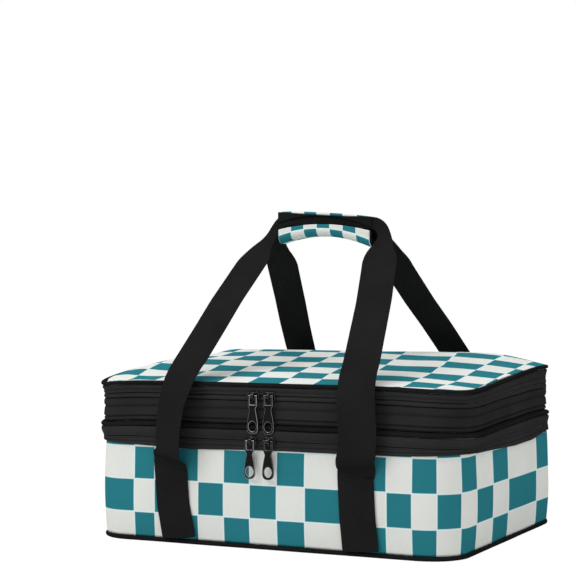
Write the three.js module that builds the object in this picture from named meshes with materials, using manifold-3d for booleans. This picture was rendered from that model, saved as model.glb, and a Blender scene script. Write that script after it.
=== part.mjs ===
// Insulated two-compartment casserole carrier, folded down, with its webbing handle standing.
// Millimetres, +Z up, front towards -Y. The origin is the middle of the base, on the table.
import * as THREE from 'three';
import { mergeVertices } from 'three/addons/utils/BufferGeometryUtils.js';
import Module from 'manifold-3d';

const manifold = await Module();
manifold.setup();

// Plan of the case, measured on the outside of the checked wall.
const CASE_WIDTH = 408;
const CASE_DEPTH = 340;
const CORNER_RADIUS = 42;
const CORNER_STEPS = 5;
const LEAST_CORNER_RADIUS = 3;
const WELD = 1e-4;

// Sewn layers and the gap left between touching pieces.
const FIT_GAP = 0.3;
const COVER = 1;
const FOAM = 4;
const LINER = 0.8;
const BAND = 1.2;
const BOARD = 2.4;

// Heights of the stack, from the table up.
const WALL_HEIGHT = 100;
const MID_TAPE_LOWER = 9.4;
const MID_TAPE_UPPER = 11.8;
const DECK_PIPING_HEIGHT = 3.6;
const FOLD_HEIGHT = 1.7;
const UPPER_BAND_HEIGHT = 23.5;
const TOP_TAPE_LOWER = 4.5;
const LID_BAND_HEIGHT = 8;
const COIL_HEIGHT = 1.4;
const COIL_DEPTH = 1.6;
const ZIP_END_FROM_BACK = 52;

// Swell of the soft walls outside or inside the plan, and the folded gusset.
const WALL_SWELL = 0.8;
const WALL_TUCK = 1.5;
const DECK_SWELL = 2.8;
const DECK_TAPE_TUCK = 0.4;
const TOP_DRAW_IN = 0.8;
const RIB_DEPTH = 0.9;
const RIB_COUNT = 3;
const FOLD_DEPTH = 12;
const FOLD_INSET = 1;
const GUSSET_CLOTH = 0.35;

// Piping cords.
const BOTTOM_PIPING = 4.4;
const LID_PIPING = 4.5;
const LID_PIPING_OUT = 0.85;
const PIPING_SIDES = 8;

// Crowned lid: dome height at the back, its share at the front, how far in from the edge it is
// reached, and the rise of the rear edge.
const LID_DOME = 20.5;
const DOME_FRONT_SHARE = 0.05;
const DOME_REACH = 75;
const DOME_RINGS = 5;
const LID_RISE = 8;
const LID_FOAM = 5;

// Webbing: sewn to the wall up to the tack, bowed out to the stand-off, then leaning to the grip.
const WEBBING_WIDTH = 38;
const WEBBING = 2.4;
const STRAP_X = 102;
const TACK_BELOW_WALL = 21;
const BEND_BELOW_WALL = 2;
const STRAP_STANDOFF = 17;
const LEAN_ABOVE_LID = 4;
const GRIP_ABOVE_LID = 169.7;
const GRIP_HEIGHT = 11.4;
const GRIP_OFFSET = 6.4;
const GRIP_TURN = 24;
const SHOULDER_X = 69;
const TAPER_LENGTH = 40;
const LEAN_BLEND = 14;
const STRAP_STEP = 12;

// Wrap around the grip: a padded sleeve, open towards the front.
const WRAP_LENGTH = 110;
const WRAP_DEPTH = 26;
const WRAP_HEIGHT = 30;
const WRAP_SKIN = 2.4;
const WRAP_LINING = 1;
const WRAP_ROUND = 8;
const TOP_LIP = 4.6;
const LIP_ROUNDING = 0.8;
const MOUTH_CLEARANCE = 1;

// Zip sliders and pulls.
const MID_SLIDERS_X = [-12, 8.5];
const TOP_SLIDERS_X = [-9.5, 8];
const SLIDER_WIDTH = 12.6;
const SLIDER_HEIGHT = 8;
const SLIDER_PLATE = 1.6;
const BAIL_WIDTH = 3;
const BAIL_WIRE = 1.2;
const PULL = 1.6;
const PULL_PLAY = 0.3;
const PULL_LENGTH = 39;
const PULL_WIDTH = 12.4;
const PULL_NECK = 6.8;
const PULL_RIM = 1.7;
const PULL_WINDOW = 8;
const PULL_EYE_WIDTH = 10;
const PULL_END_ROUND = 6.3;
const PULL_TOE = 2.2;
const PULL_STEPS = 10;

// Levels of the stack, each worked out from the heights above.
const wallTop = WALL_HEIGHT;
const midZip = wallTop + MID_TAPE_LOWER;
const deckPipingZ = midZip + MID_TAPE_UPPER;
const foldZ = deckPipingZ + DECK_PIPING_HEIGHT;
const bandZ = foldZ + FOLD_HEIGHT;
const topTapeZ = bandZ + UPPER_BAND_HEIGHT;
const topZip = topTapeZ + TOP_TAPE_LOWER;
const lidPipingZ = topZip + LID_BAND_HEIGHT;
const lidTop = lidPipingZ + LID_PIPING;
const deckCoilLow = midZip + FIT_GAP / 2;
const deckTapeLow = deckCoilLow + COIL_HEIGHT + FIT_GAP;
const lidBandLow = topZip + FIT_GAP / 2 + COIL_HEIGHT + FIT_GAP;
const lidFoamDepth = COVER + FIT_GAP;
const lidLinerDepth = lidFoamDepth + LID_FOAM + FIT_GAP;
const lidUnderside = lidTop - lidLinerDepth - LINER;
const zipEnd = CASE_DEPTH / 2 - ZIP_END_FROM_BACK;
const coilRoom = COIL_HEIGHT + FIT_GAP * 1.5;
const wallTopOut = -WALL_TUCK / 3;
const tackZ = wallTop - TACK_BELOW_WALL;
const bendZ = wallTop - BEND_BELOW_WALL;
const gripZ = lidTop + GRIP_ABOVE_LID;
const foamOut = -COVER - FIT_GAP - WALL_TUCK;
const linerOut = foamOut - FOAM - FIT_GAP;

/** Finish of a piece: colour, roughness and metalness. */
function finish(color, roughness, metalness = 0) {
  return new THREE.MeshStandardMaterial({ color, roughness, metalness });
}

const checkedCloth = finish(0x28767f, 0.85);
const blackCloth = finish(0x222222, 0.85);
const blackWebbing = finish(0x242424, 0.8);
const foilLiner = finish(0xb8bcc0, 0.35, 0.6);
const paleFoam = finish(0xe6e4de, 0.95);
const board = finish(0x8d8f90, 0.6);
const coilPlastic = finish(0x151515, 0.5);
const gunmetal = finish(0x1c1c1e, 0.25, 0.9);

/** Closed geometry from vertices and triangles, turned so that its faces point outwards. */
function closedBody(positions, triangles) {
  const flat = positions.flat();
  let volume = 0;
  const [a, b, c] = [new THREE.Vector3(), new THREE.Vector3(), new THREE.Vector3()];
  for (const [i, j, k] of triangles) {
    a.fromArray(positions[i]);
    b.fromArray(positions[j]);
    c.fromArray(positions[k]);
    volume += a.dot(b.cross(c));
  }
  const outward = volume < 0 ? triangles.map(([i, j, k]) => [i, k, j]) : triangles;
  const geometry = new THREE.BufferGeometry();
  geometry.setAttribute('position', new THREE.Float32BufferAttribute(flat, 3));
  geometry.setIndex(outward.flat());
  geometry.computeVertexNormals();
  return geometry;
}

/** Points on a quarter circle round a corner, from one angle by a quarter turn, in degrees. */
function quarter(x, y, radius, start, turn) {
  return Array.from({ length: CORNER_STEPS + 1 }, (_, step) => {
    const angle = THREE.MathUtils.degToRad(start + (turn * step) / CORNER_STEPS);
    return [x + radius * Math.cos(angle), y + radius * Math.sin(angle)];
  });
}

/** Half sizes and corner radius of the plan at a distance outside (or inside) the wall. */
function planAt(outset) {
  const halfX = CASE_WIDTH / 2 + outset;
  const halfY = CASE_DEPTH / 2 + outset;
  const radius = Math.max(CORNER_RADIUS + outset, LEAST_CORNER_RADIUS);
  return { halfX, halfY, radius, cornerX: halfX - radius, cornerY: halfY - radius };
}

/** The whole rounded rectangle at an outset. */
function allRound(outset) {
  const { cornerX, cornerY, radius } = planAt(outset);
  return [
    ...quarter(cornerX, -cornerY, radius, -90, 90),
    ...quarter(cornerX, cornerY, radius, 0, 90),
    ...quarter(-cornerX, cornerY, radius, 90, 90),
    ...quarter(-cornerX, -cornerY, radius, 180, 90),
  ];
}

/** The zip's run: one side, the front and the other side, open at the back. */
function zipRun(outset) {
  const { halfX, cornerX, cornerY, radius } = planAt(outset);
  return [
    [halfX, zipEnd],
    ...quarter(cornerX, -cornerY, radius, 0, -90),
    ...quarter(-cornerX, -cornerY, radius, -90, -90),
    [-halfX, zipEnd],
  ];
}

/** The back of a zipped panel, from one end of its zip round both rear corners to the other. */
function backRun(outset) {
  const { halfX, cornerX, cornerY, radius } = planAt(outset);
  return [
    [halfX, zipEnd + FIT_GAP],
    ...quarter(cornerX, cornerY, radius, 0, 90),
    ...quarter(-cornerX, cornerY, radius, 90, 90),
    [-halfX, zipEnd + FIT_GAP],
  ];
}

/** Carries a profile of [outset, z] points along a run; an open run gets flat ends. */
function sweep(profile, run, closed) {
  const lines = profile.map(([outset, z]) => run(outset).map(([x, y]) => [x, y, z]));
  const count = lines[0].length;
  const positions = lines.flat();
  const triangles = [];
  const spans = closed ? count : count - 1;
  for (let j = 0; j < profile.length; j += 1) {
    const next = (j + 1) % profile.length;
    for (let i = 0; i < spans; i += 1) {
      const [p, q] = [j * count + i, j * count + ((i + 1) % count)];
      const [r, s] = [next * count + i, next * count + ((i + 1) % count)];
      triangles.push([p, q, s], [p, s, r]);
    }
  }
  if (!closed) {
    for (let j = 1; j < profile.length - 1; j += 1) {
      triangles.push([0, j * count, (j + 1) * count]);
      triangles.push([count - 1, (j + 2) * count - 1, (j + 1) * count - 1]);
    }
  }
  return closedBody(positions, triangles);
}

/** A ring round the case whose section is the closed profile. */
function ring(profile) {
  return sweep(profile, allRound, true);
}

/** A stack of outlines [outset, z, extra height at the back], with a flat panel over its first and last. */
function stack(levels) {
  const lines = levels.map(([outset, z, tilt = 0]) => (
    allRound(outset).map(([x, y]) => [x, y, z + tilt * (y / CASE_DEPTH + 0.5)])
  ));
  const count = lines[0].length;
  const triangles = [];
  for (let j = 0; j < levels.length - 1; j += 1) {
    const inwards = levels[j + 1][0] < levels[j][0];
    for (let i = 0; i < count; i += 1) {
      const [p, q] = [j * count + i, j * count + ((i + 1) % count)];
      const [r, s] = [q + count, p + count];
      triangles.push(...(inwards ? [[p, q, r], [p, r, s]] : [[p, q, s], [q, r, s]]));
    }
  }
  const last = (levels.length - 1) * count;
  for (let i = 1; i < count - 1; i += 1) {
    triangles.push([0, i + 1, i], [last, last + i, last + i + 1]);
  }
  return closedBody(lines.flat(), triangles);
}

/** A wall of even thickness: the outer line of [outset, z] points and the same line moved inwards. */
function wall(outer, thickness) {
  const inner = outer.map(([outset, z]) => [outset - thickness, z]).reverse();
  return ring([...outer, ...inner]);
}

/** A flat sheet between two heights. */
function sheet(outset, low, high) {
  return stack([[outset, low], [outset, high]]);
}

/** A tub: floor and walls of one thickness, open at the top. */
function tub(outset, low, high, thickness) {
  const inside = outset - thickness;
  return stack([[outset, low], [outset, high], [inside, high], [inside, low + thickness]]);
}

/** A round piping cord on the plan, centred at an outset and a height. */
function piping(outset, z, diameter) {
  const profile = Array.from({ length: PIPING_SIDES }, (_, side) => {
    const angle = ((side + 0.5) * 2 * Math.PI) / PIPING_SIDES;
    const reach = diameter / 2 / Math.cos(Math.PI / PIPING_SIDES);
    return [outset + reach * Math.cos(angle), z + reach * Math.sin(angle)];
  });
  return ring(profile);
}

/** One half of a zip's coil, a small bar along the zip. */
function coil(outset, low, high) {
  const inside = outset - COIL_DEPTH;
  return sweep([[outset, low], [outset, high], [inside, high], [inside, low]], zipRun, false);
}

/** Height of the lid's dome at an outset: nothing at the edge, level beyond the reach. */
function dome(outset) {
  const share = Math.min(1, Math.max(0, -outset / DOME_REACH));
  return LID_DOME * Math.sin((share * Math.PI) / 2);
}

/** A crowned lid layer: top and underside follow the dome at two depths below the lid's top. */
function crownedLayer(edge, topDepth, bottomDepth) {
  const shared = Array.from({ length: DOME_RINGS }, (_, i) => -DOME_REACH * ((i + 1) / DOME_RINGS) ** 2);
  const outsets = [edge, ...shared.filter((outset) => outset < edge - FIT_GAP)];
  const level = (outset, depth) => {
    const crown = dome(outset);
    return [outset, lidTop + crown * DOME_FRONT_SHARE - depth, crown * (1 - DOME_FRONT_SHARE)];
  };
  const under = outsets.map((outset) => level(outset, bottomDepth));
  const above = outsets.map((outset) => level(outset, topDepth));
  return stack([...under.reverse(), ...above]);
}

/** Raises the lid towards the back: nothing at the zip, the full rise from the lid's underside up. */
function raiseBack(geometry) {
  const place = geometry.getAttribute('position');
  for (let i = 0; i < place.count; i += 1) {
    const share = THREE.MathUtils.clamp((place.getZ(i) - lidBandLow) / (lidUnderside - lidBandLow), 0, 1);
    const back = place.getY(i) / CASE_DEPTH + 0.5;
    place.setZ(i, place.getZ(i) + LID_RISE * back * share);
  }
  geometry.computeVertexNormals();
  return geometry;
}

/**
 * A webbing band. `side` is its edge-on path of (distance in front of the middle, height) and `plan` its flat
 * path of (x, length along the side path); the band keeps `halfWidth(length)` to each side of the plan.
 */
function webbing(side, plan, halfWidth, steps, facing) {
  const sideLength = side.getLength();
  const corner = (x, along, lift) => {
    const share = THREE.MathUtils.clamp(along / sideLength, 0, 1);
    const point = side.getPointAt(share);
    const tangent = side.getTangentAt(share);
    const extra = along - share * sideLength;
    const y = point.x + tangent.x * extra + tangent.y * lift;
    const z = point.y + tangent.y * extra - tangent.x * lift;
    return [x, -facing * y, z];
  };
  const positions = [];
  for (let i = 0; i <= steps; i += 1) {
    const point = plan.getPointAt(i / steps);
    const tangent = plan.getTangentAt(i / steps);
    const half = halfWidth(point.y);
    const left = [point.x - tangent.y * half, point.y + tangent.x * half];
    const right = [point.x + tangent.y * half, point.y - tangent.x * half];
    positions.push(corner(...left, WEBBING / 2), corner(...right, WEBBING / 2));
    positions.push(corner(...right, -WEBBING / 2), corner(...left, -WEBBING / 2));
  }
  const triangles = [];
  for (let i = 0; i < steps; i += 1) {
    for (let j = 0; j < 4; j += 1) {
      const [p, q] = [i * 4 + j, i * 4 + ((j + 1) % 4)];
      triangles.push([p, q, q + 4], [p, q + 4, p + 4]);
    }
  }
  const last = steps * 4;
  triangles.push([0, 2, 1], [0, 3, 2], [last, last + 1, last + 2], [last, last + 2, last + 3]);
  return closedBody(positions, triangles);
}

const wallFace = CASE_DEPTH / 2 + WALL_SWELL + FIT_GAP;
const sewnLine = wallFace + WEBBING / 2;
const standLine = CASE_DEPTH / 2 + STRAP_STANDOFF + WEBBING / 2;

/** Straight flat path of a short strap at one side, `length` long. */
function straightPlan(x, length) {
  return new THREE.LineCurve(new THREE.Vector2(x, 0), new THREE.Vector2(x, length));
}

/** Strap sewn flat to the wall, from the bottom piping up to the tack. */
function sewnStrap(x, facing) {
  const low = BOTTOM_PIPING + 2 * FIT_GAP;
  const high = tackZ - FIT_GAP / 2;
  const side = new THREE.LineCurve(new THREE.Vector2(sewnLine, low), new THREE.Vector2(sewnLine, high));
  return webbing(side, straightPlan(x, high - low), () => WEBBING_WIDTH / 2, 1, facing);
}

/** Strap foot: bows out from the tack to the stand-off, where the loop bends. */
function strapFoot(x, facing) {
  const low = tackZ + FIT_GAP / 2;
  const high = bendZ - FIT_GAP / 2;
  const pullOut = (high - low) / 2;
  const side = new THREE.CubicBezierCurve(
    new THREE.Vector2(sewnLine, low),
    new THREE.Vector2(sewnLine, low + pullOut),
    new THREE.Vector2(standLine, high - pullOut),
    new THREE.Vector2(standLine, high),
  );
  return webbing(side, straightPlan(x, side.getLength()), () => WEBBING_WIDTH / 2, STRAP_STEP / 2, facing);
}

/** Strap loop: up at the stand-off, leaning in to the grip, across it and down again. */
function strapLoop(facing) {
  const low = bendZ + FIT_GAP / 2;
  const leanZ = lidTop + LEAN_ABOVE_LID + (facing < 0 ? LID_RISE : 0);
  const gripFoot = gripZ - GRIP_HEIGHT;
  const [lean, across] = [gripFoot - leanZ, standLine - GRIP_OFFSET];
  const blend = LEAN_BLEND / Math.hypot(lean, across);
  const side = new THREE.Path();
  side.moveTo(standLine, low);
  side.lineTo(standLine, leanZ - LEAN_BLEND);
  side.quadraticCurveTo(standLine, leanZ, standLine - across * blend, leanZ + lean * blend);
  side.lineTo(GRIP_OFFSET + across * blend, gripFoot - lean * blend);
  side.quadraticCurveTo(GRIP_OFFSET, gripFoot, GRIP_OFFSET, gripFoot + GRIP_HEIGHT / 2);
  side.lineTo(GRIP_OFFSET, gripZ + GRIP_HEIGHT);
  const top = side.getLength() - GRIP_HEIGHT;
  const leanStart = leanZ - low;
  const turnStart = top - GRIP_TURN;
  const halfWrap = WRAP_LENGTH / 2;
  const plan = new THREE.Path();
  plan.moveTo(-STRAP_X, 0);
  plan.lineTo(-STRAP_X, leanStart);
  plan.lineTo(-SHOULDER_X, turnStart);
  plan.quadraticCurveTo(-SHOULDER_X, top, -halfWrap, top);
  plan.lineTo(halfWrap, top);
  plan.quadraticCurveTo(SHOULDER_X, top, SHOULDER_X, turnStart);
  plan.lineTo(STRAP_X, leanStart);
  plan.lineTo(STRAP_X, 0);
  const halfWidth = (along) => {
    const share = THREE.MathUtils.smoothstep(along, turnStart - TAPER_LENGTH, turnStart);
    return THREE.MathUtils.lerp(WEBBING_WIDTH, GRIP_HEIGHT, share) / 2;
  };
  const steps = Math.round(plan.getLength() / STRAP_STEP);
  return webbing(side, plan, halfWidth, steps, facing);
}

/** Extrudes a shape drawn in (forward, z) along X, centred on the middle. */
function extrudeAlongX(shape, length, curveSegments) {
  const geometry = new THREE.ExtrudeGeometry(shape, { depth: length, bevelEnabled: false, curveSegments });
  const forward = new THREE.Vector3(0, -1, 0);
  const up = new THREE.Vector3(0, 0, 1);
  const along = new THREE.Vector3(-1, 0, 0);
  geometry.translate(0, 0, -length / 2);
  return geometry.applyMatrix4(new THREE.Matrix4().makeBasis(forward, up, along));
}

/** Extrudes a shape drawn in (x, z) towards the front, starting at a distance in front of the middle. */
function extrudeForward(shape, start, depth, curveSegments) {
  const geometry = new THREE.ExtrudeGeometry(shape, { depth, bevelEnabled: false, curveSegments });
  return geometry.rotateX(Math.PI / 2).translate(0, -start, 0);
}

const mouthLow = gripZ - GRIP_HEIGHT / 2 - MOUTH_CLEARANCE;
const mouthHigh = gripZ + GRIP_HEIGHT / 2 + MOUTH_CLEARANCE;
const wrapTop = mouthHigh + TOP_LIP;
const wrapBottom = wrapTop - WRAP_HEIGHT;

/** One layer of the wrap: a C-shaped sleeve whose mouth faces the front. */
function sleeve(inset, thickness, lipBack) {
  const shape = new THREE.Shape();
  const trace = (depth, reverse) => {
    const front = WRAP_DEPTH / 2 - depth;
    const [low, high] = [wrapBottom + depth, wrapTop - depth];
    const round = WRAP_ROUND - depth;
    const lip = Math.min(TOP_LIP - depth - lipBack, round) * LIP_ROUNDING;
    const bends = [
      [front, mouthLow - lipBack],
      [front, low + round, front, low, front - round, low],
      [-front + round, low, -front, low, -front, low + round],
      [-front, high - round, -front, high, -front + round, high],
      [front - lip, high, front, high, front, high - lip],
      [front, mouthHigh + lipBack],
    ];
    return reverse ? bends.reverse().map(turnRound) : bends;
  };
  const draw = (bend, index) => {
    const [a, b, c, d, e, f] = bend;
    if (index === 0) shape.moveTo(a, b);
    else shape.lineTo(a, b);
    if (bend.length > 2) shape.quadraticCurveTo(c, d, e, f);
  };
  [...trace(inset, false), ...trace(inset + thickness, true)].forEach(draw);
  return extrudeAlongX(shape, WRAP_LENGTH, 3);
}

/** A bend walked the other way. */
function turnRound(bend) {
  if (bend.length === 2) return bend;
  const [a, b, c, d, e, f] = bend;
  return [e, f, c, d, a, b];
}

/** Solid for joining and cutting, from a closed geometry. */
function toSolid(geometry) {
  const bare = geometry.clone();
  bare.deleteAttribute('normal');
  bare.deleteAttribute('uv');
  const merged = mergeVertices(bare, WELD);
  const vertProperties = new Float32Array(merged.getAttribute('position').array);
  const triVerts = new Uint32Array(merged.getIndex().array);
  return new manifold.Manifold(new manifold.Mesh({ numProp: 3, vertProperties, triVerts }));
}

/** Geometry of a joined solid. */
function fromSolid(solid) {
  const mesh = solid.getMesh();
  const geometry = new THREE.BufferGeometry();
  geometry.setAttribute('position', new THREE.Float32BufferAttribute(mesh.vertProperties, 3));
  geometry.setIndex(Array.from(mesh.triVerts));
  geometry.computeVertexNormals();
  return geometry;
}

/** Rectangle with rounded ends, drawn round the origin. */
function pad(width, height, round) {
  const [x, y] = [width / 2, height / 2];
  const shape = new THREE.Shape();
  shape.moveTo(-x + round, -y);
  shape.lineTo(x - round, -y);
  shape.quadraticCurveTo(x, -y, x, -y + round);
  shape.lineTo(x, y - round);
  shape.quadraticCurveTo(x, y, x - round, y);
  shape.lineTo(-x + round, y);
  shape.quadraticCurveTo(-x, y, -x, y - round);
  shape.lineTo(-x, -y + round);
  shape.quadraticCurveTo(-x, -y, -x + round, -y);
  return shape;
}

const bailInside = PULL * Math.SQRT2 + 2 * PULL_PLAY;

/** Slider: a plate in front of the coil, a lip resting on its own tape, and the bail that holds the pull. */
function slider(plateStart, tapeFace, tapeLow) {
  const plateEnd = plateStart + SLIDER_PLATE;
  const plate = extrudeForward(pad(SLIDER_WIDTH, SLIDER_HEIGHT, SLIDER_HEIGHT / 3), plateStart, SLIDER_PLATE, 3);
  const lipHigh = -COIL_HEIGHT - FIT_GAP * 2;
  const lipLow = Math.max(-SLIDER_HEIGHT / 2, tapeLow);
  const lip = pad(SLIDER_WIDTH - SLIDER_HEIGHT / 1.5, lipHigh - lipLow, (lipHigh - lipLow) / 4);
  const lipDepth = plateStart - tapeFace + SLIDER_PLATE / 2;
  const lipSolid = extrudeForward(lip, tapeFace, lipDepth, 2).translate(0, 0, (lipHigh + lipLow) / 2);
  const bailReach = bailInside + BAIL_WIRE;
  const half = bailInside / 2;
  const bail = new THREE.Shape();
  bail.moveTo(-SLIDER_PLATE / 2, -half - BAIL_WIRE);
  bail.lineTo(bailReach - BAIL_WIRE, -half - BAIL_WIRE);
  bail.lineTo(bailReach, -half);
  bail.lineTo(bailReach, half);
  bail.lineTo(bailReach - BAIL_WIRE, half + BAIL_WIRE);
  bail.lineTo(-SLIDER_PLATE / 2, half + BAIL_WIRE);
  bail.lineTo(-SLIDER_PLATE / 2, half);
  bail.lineTo(bailInside, half);
  bail.lineTo(bailInside, -half);
  bail.lineTo(-SLIDER_PLATE / 2, -half);
  const bailSolid = extrudeAlongX(bail, BAIL_WIDTH, 1).translate(0, -plateEnd, 0);
  return fromSolid(toSolid(plate).add(toSolid(lipSolid)).add(toSolid(bailSolid)));
}

/** Pull: a bar behind the bail, a window round it, a waist and a rounded end with an oval hole. */
function pull(axisLine) {
  const eye = PULL_EYE_WIDTH / 2;
  const top = PULL / 2;
  const windowEnd = -PULL / 2 - PULL_WINDOW;
  const shoulder = windowEnd - PULL_RIM / 2;
  const waist = windowEnd - PULL_RIM * 2;
  const end = top - PULL_LENGTH;
  const wide = PULL_WIDTH / 2;
  const shape = new THREE.Shape();
  shape.moveTo(-eye, top);
  shape.lineTo(-eye, shoulder);
  shape.quadraticCurveTo(-PULL_NECK / 2, waist, -PULL_NECK / 2, waist - PULL_RIM);
  shape.quadraticCurveTo(-wide, (waist + end) / 2, -wide, end + PULL_END_ROUND);
  shape.quadraticCurveTo(-wide, end, 0, end);
  shape.quadraticCurveTo(wide, end, wide, end + PULL_END_ROUND);
  shape.quadraticCurveTo(wide, (waist + end) / 2, PULL_NECK / 2, waist - PULL_RIM);
  shape.quadraticCurveTo(PULL_NECK / 2, waist, eye, shoulder);
  shape.lineTo(eye, top);
  const window = new THREE.Path();
  const inner = eye - PULL_RIM;
  window.moveTo(-inner, -PULL / 2);
  window.lineTo(inner, -PULL / 2);
  window.lineTo(inner, windowEnd);
  window.lineTo(-inner, windowEnd);
  const holeHigh = (waist + end) / 2;
  const holeLow = end + PULL_TOE;
  const rim = Array.from({ length: PULL_STEPS }, (_, step) => {
    const angle = (step * 2 * Math.PI) / PULL_STEPS;
    const x = (wide - PULL_RIM) * Math.cos(angle);
    return new THREE.Vector2(x, (holeHigh + holeLow + (holeHigh - holeLow) * Math.sin(angle)) / 2);
  });
  shape.holes.push(window, new THREE.Path(rim));
  return extrudeForward(shape, axisLine - PULL / 2, PULL, PULL_STEPS / 2);
}

const carrier = new THREE.Group();
carrier.name = 'casserole_carrier';

/** Adds a named piece to a group. */
function piece(group, name, geometry, material) {
  const mesh = new THREE.Mesh(geometry, material);
  mesh.name = name;
  group.add(mesh);
  return mesh;
}

/** Adds an empty group for one assembly. */
function assembly(name) {
  const group = new THREE.Group();
  group.name = name;
  carrier.add(group);
  return group;
}

// Lower case: base, insulated wall and the lower half of the middle zip.
const lowerCase = assembly('lower_case');
const baseOut = -BOTTOM_PIPING / 2 - WALL_TUCK + 2 * FIT_GAP;
const boardZ = COVER + FIT_GAP;
const baseFoamZ = boardZ + BOARD + FIT_GAP;
const tubZ = baseFoamZ + FOAM + FIT_GAP;
const wallLow = BOTTOM_PIPING + 2 * FIT_GAP;
const wallHigh = wallTop - FIT_GAP / 2;
const wallCurve = [
  [-WALL_TUCK, wallLow],
  [0, wallLow + WALL_HEIGHT / 8],
  [WALL_SWELL, WALL_HEIGHT / 2],
  [wallTopOut, wallHigh],
];
piece(lowerCase, 'base_panel', sheet(baseOut, 0, COVER), blackCloth);
piece(lowerCase, 'base_board', sheet(baseOut, boardZ, boardZ + BOARD), board);
piece(lowerCase, 'base_foam', sheet(linerOut, baseFoamZ, baseFoamZ + FOAM), paleFoam);
const bottomPipingZ = BOTTOM_PIPING / 2 + FIT_GAP;
piece(lowerCase, 'bottom_piping', piping(-WALL_TUCK / 2, bottomPipingZ, BOTTOM_PIPING), blackCloth);
piece(lowerCase, 'lower_wall_cover', wall(wallCurve, COVER), checkedCloth);
const foamBand = [[foamOut, baseFoamZ], [foamOut, wallHigh]];
piece(lowerCase, 'lower_wall_foam', wall(foamBand, FOAM), paleFoam);
piece(lowerCase, 'lower_liner', tub(linerOut, tubZ, wallHigh, LINER), foilLiner);
const midTapeHigh = midZip - coilRoom;
const lowerTape = [[wallTopOut, wallTop + FIT_GAP / 2], [DECK_SWELL / 3, midTapeHigh]];
piece(lowerCase, 'lower_zip_tape', wall(lowerTape, BAND), blackCloth);
const midCoilOut = DECK_SWELL / 3;
const lowerCoil = coil(midCoilOut, midTapeHigh + FIT_GAP, midZip - FIT_GAP / 2);
piece(lowerCase, 'lower_zip_coil', lowerCoil, coilPlastic);

/** Cloth strip over the back of a zip band, where the panel above it hinges. */
function hingeBinding(outset, low, high) {
  const outer = outset + FIT_GAP + BAND;
  const inner = outset + FIT_GAP;
  return sweep([[outer, low], [outer, high], [inner, high], [inner, low]], backRun, false);
}

const midBinding = hingeBinding(midCoilOut, wallTop + FIT_GAP, deckTapeLow - FIT_GAP);
piece(lowerCase, 'mid_hinge_binding', midBinding, blackCloth);

const sides = { left: -1, right: 1 };
const faces = { front: 1, back: -1 };
for (const [faceName, facing] of Object.entries(faces)) {
  for (const [sideName, sign] of Object.entries(sides)) {
    const name = `${faceName}_${sideName}_sewn_strap`;
    piece(lowerCase, name, sewnStrap(sign * STRAP_X, facing), blackWebbing);
  }
}

// Deck: the panel between the compartments with the upper half of the middle zip and the folded gusset.
const deck = assembly('deck');
const deckTape = [
  [midCoilOut, deckTapeLow],
  [DECK_SWELL, (deckTapeLow + deckPipingZ) / 2],
  [DECK_SWELL - DECK_TAPE_TUCK, deckPipingZ - FIT_GAP / 2],
];
piece(deck, 'deck_zip_coil', coil(midCoilOut, deckCoilLow, deckCoilLow + COIL_HEIGHT), coilPlastic);
piece(deck, 'deck_zip_tape', wall(deckTape, BAND), blackCloth);
const deckLayers = [
  ['deck_under_liner', LINER, foilLiner],
  ['deck_board', BOARD - LINER / 2, board],
  ['deck_foam', FOAM - LINER, paleFoam],
  ['deck_top_liner', LINER, foilLiner],
];
let deckLevel = deckTapeLow + FIT_GAP;
for (const [name, thickness, material] of deckLayers) {
  piece(deck, name, sheet(midCoilOut - BAND - 2 * FIT_GAP, deckLevel, deckLevel + thickness), material);
  deckLevel += thickness + FIT_GAP;
}
const ridgeLow = deckPipingZ + FIT_GAP / 2;
const ridgeHigh = foldZ - FIT_GAP / 2;
const ridge = [
  [-FOLD_INSET, ridgeLow],
  [DECK_SWELL, ridgeLow],
  [DECK_SWELL + FIT_GAP, (ridgeLow + ridgeHigh) / 2],
  [DECK_SWELL - FOLD_INSET, ridgeHigh],
  [-FOLD_INSET, ridgeHigh],
];
piece(deck, 'deck_piping', ring(ridge), blackCloth);
const foldLow = foldZ + FIT_GAP / 2;
const foldHigh = bandZ - FIT_GAP / 2;
const foldMiddle = (foldLow + foldHigh) / 2;
const gusset = [
  [-FOLD_INSET, foldLow],
  [-FOLD_INSET, foldLow + GUSSET_CLOTH],
  [GUSSET_CLOTH * 2 - FOLD_INSET - FOLD_DEPTH, foldMiddle],
  [-FOLD_INSET, foldHigh - GUSSET_CLOTH],
  [-FOLD_INSET, foldHigh],
  [-FOLD_INSET - FOLD_DEPTH, foldHigh],
  [-FOLD_INSET - FOLD_DEPTH, foldLow],
];
piece(deck, 'gusset_wall', ring(gusset), checkedCloth);

// Upper frame: the ribbed band of the upper compartment and the lower half of the top zip.
const upperFrame = assembly('upper_frame');
const bandLow = bandZ + FIT_GAP / 2;
const bandHigh = topTapeZ - FIT_GAP / 2;
const ribPitch = (bandHigh - bandLow) / RIB_COUNT;
const ribbed = Array.from({ length: RIB_COUNT }, (_, rib) => {
  const foot = bandLow + rib * ribPitch;
  return [
    [-TOP_DRAW_IN - RIB_DEPTH, foot],
    [-TOP_DRAW_IN, foot + ribPitch / 4],
    [-TOP_DRAW_IN, foot + (ribPitch * 3) / 4],
  ];
}).flat();
ribbed.push([-TOP_DRAW_IN - RIB_DEPTH, bandHigh]);
const bandInner = -TOP_DRAW_IN - RIB_DEPTH - BAND;
piece(upperFrame, 'upper_band_cover', ring([...ribbed, [bandInner, bandHigh], [bandInner, bandLow]]), blackCloth);
const bandFoamOut = bandInner - FIT_GAP;
piece(upperFrame, 'upper_band_foam', wall([[bandFoamOut, bandLow], [bandFoamOut, bandHigh]], FOAM), paleFoam);
const bandLinerOut = bandFoamOut - FOAM - FIT_GAP;
const bandLiner = wall([[bandLinerOut, bandLow], [bandLinerOut, bandHigh]], LINER);
piece(upperFrame, 'upper_band_liner', bandLiner, foilLiner);
const topCoilOut = -TOP_DRAW_IN;
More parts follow.
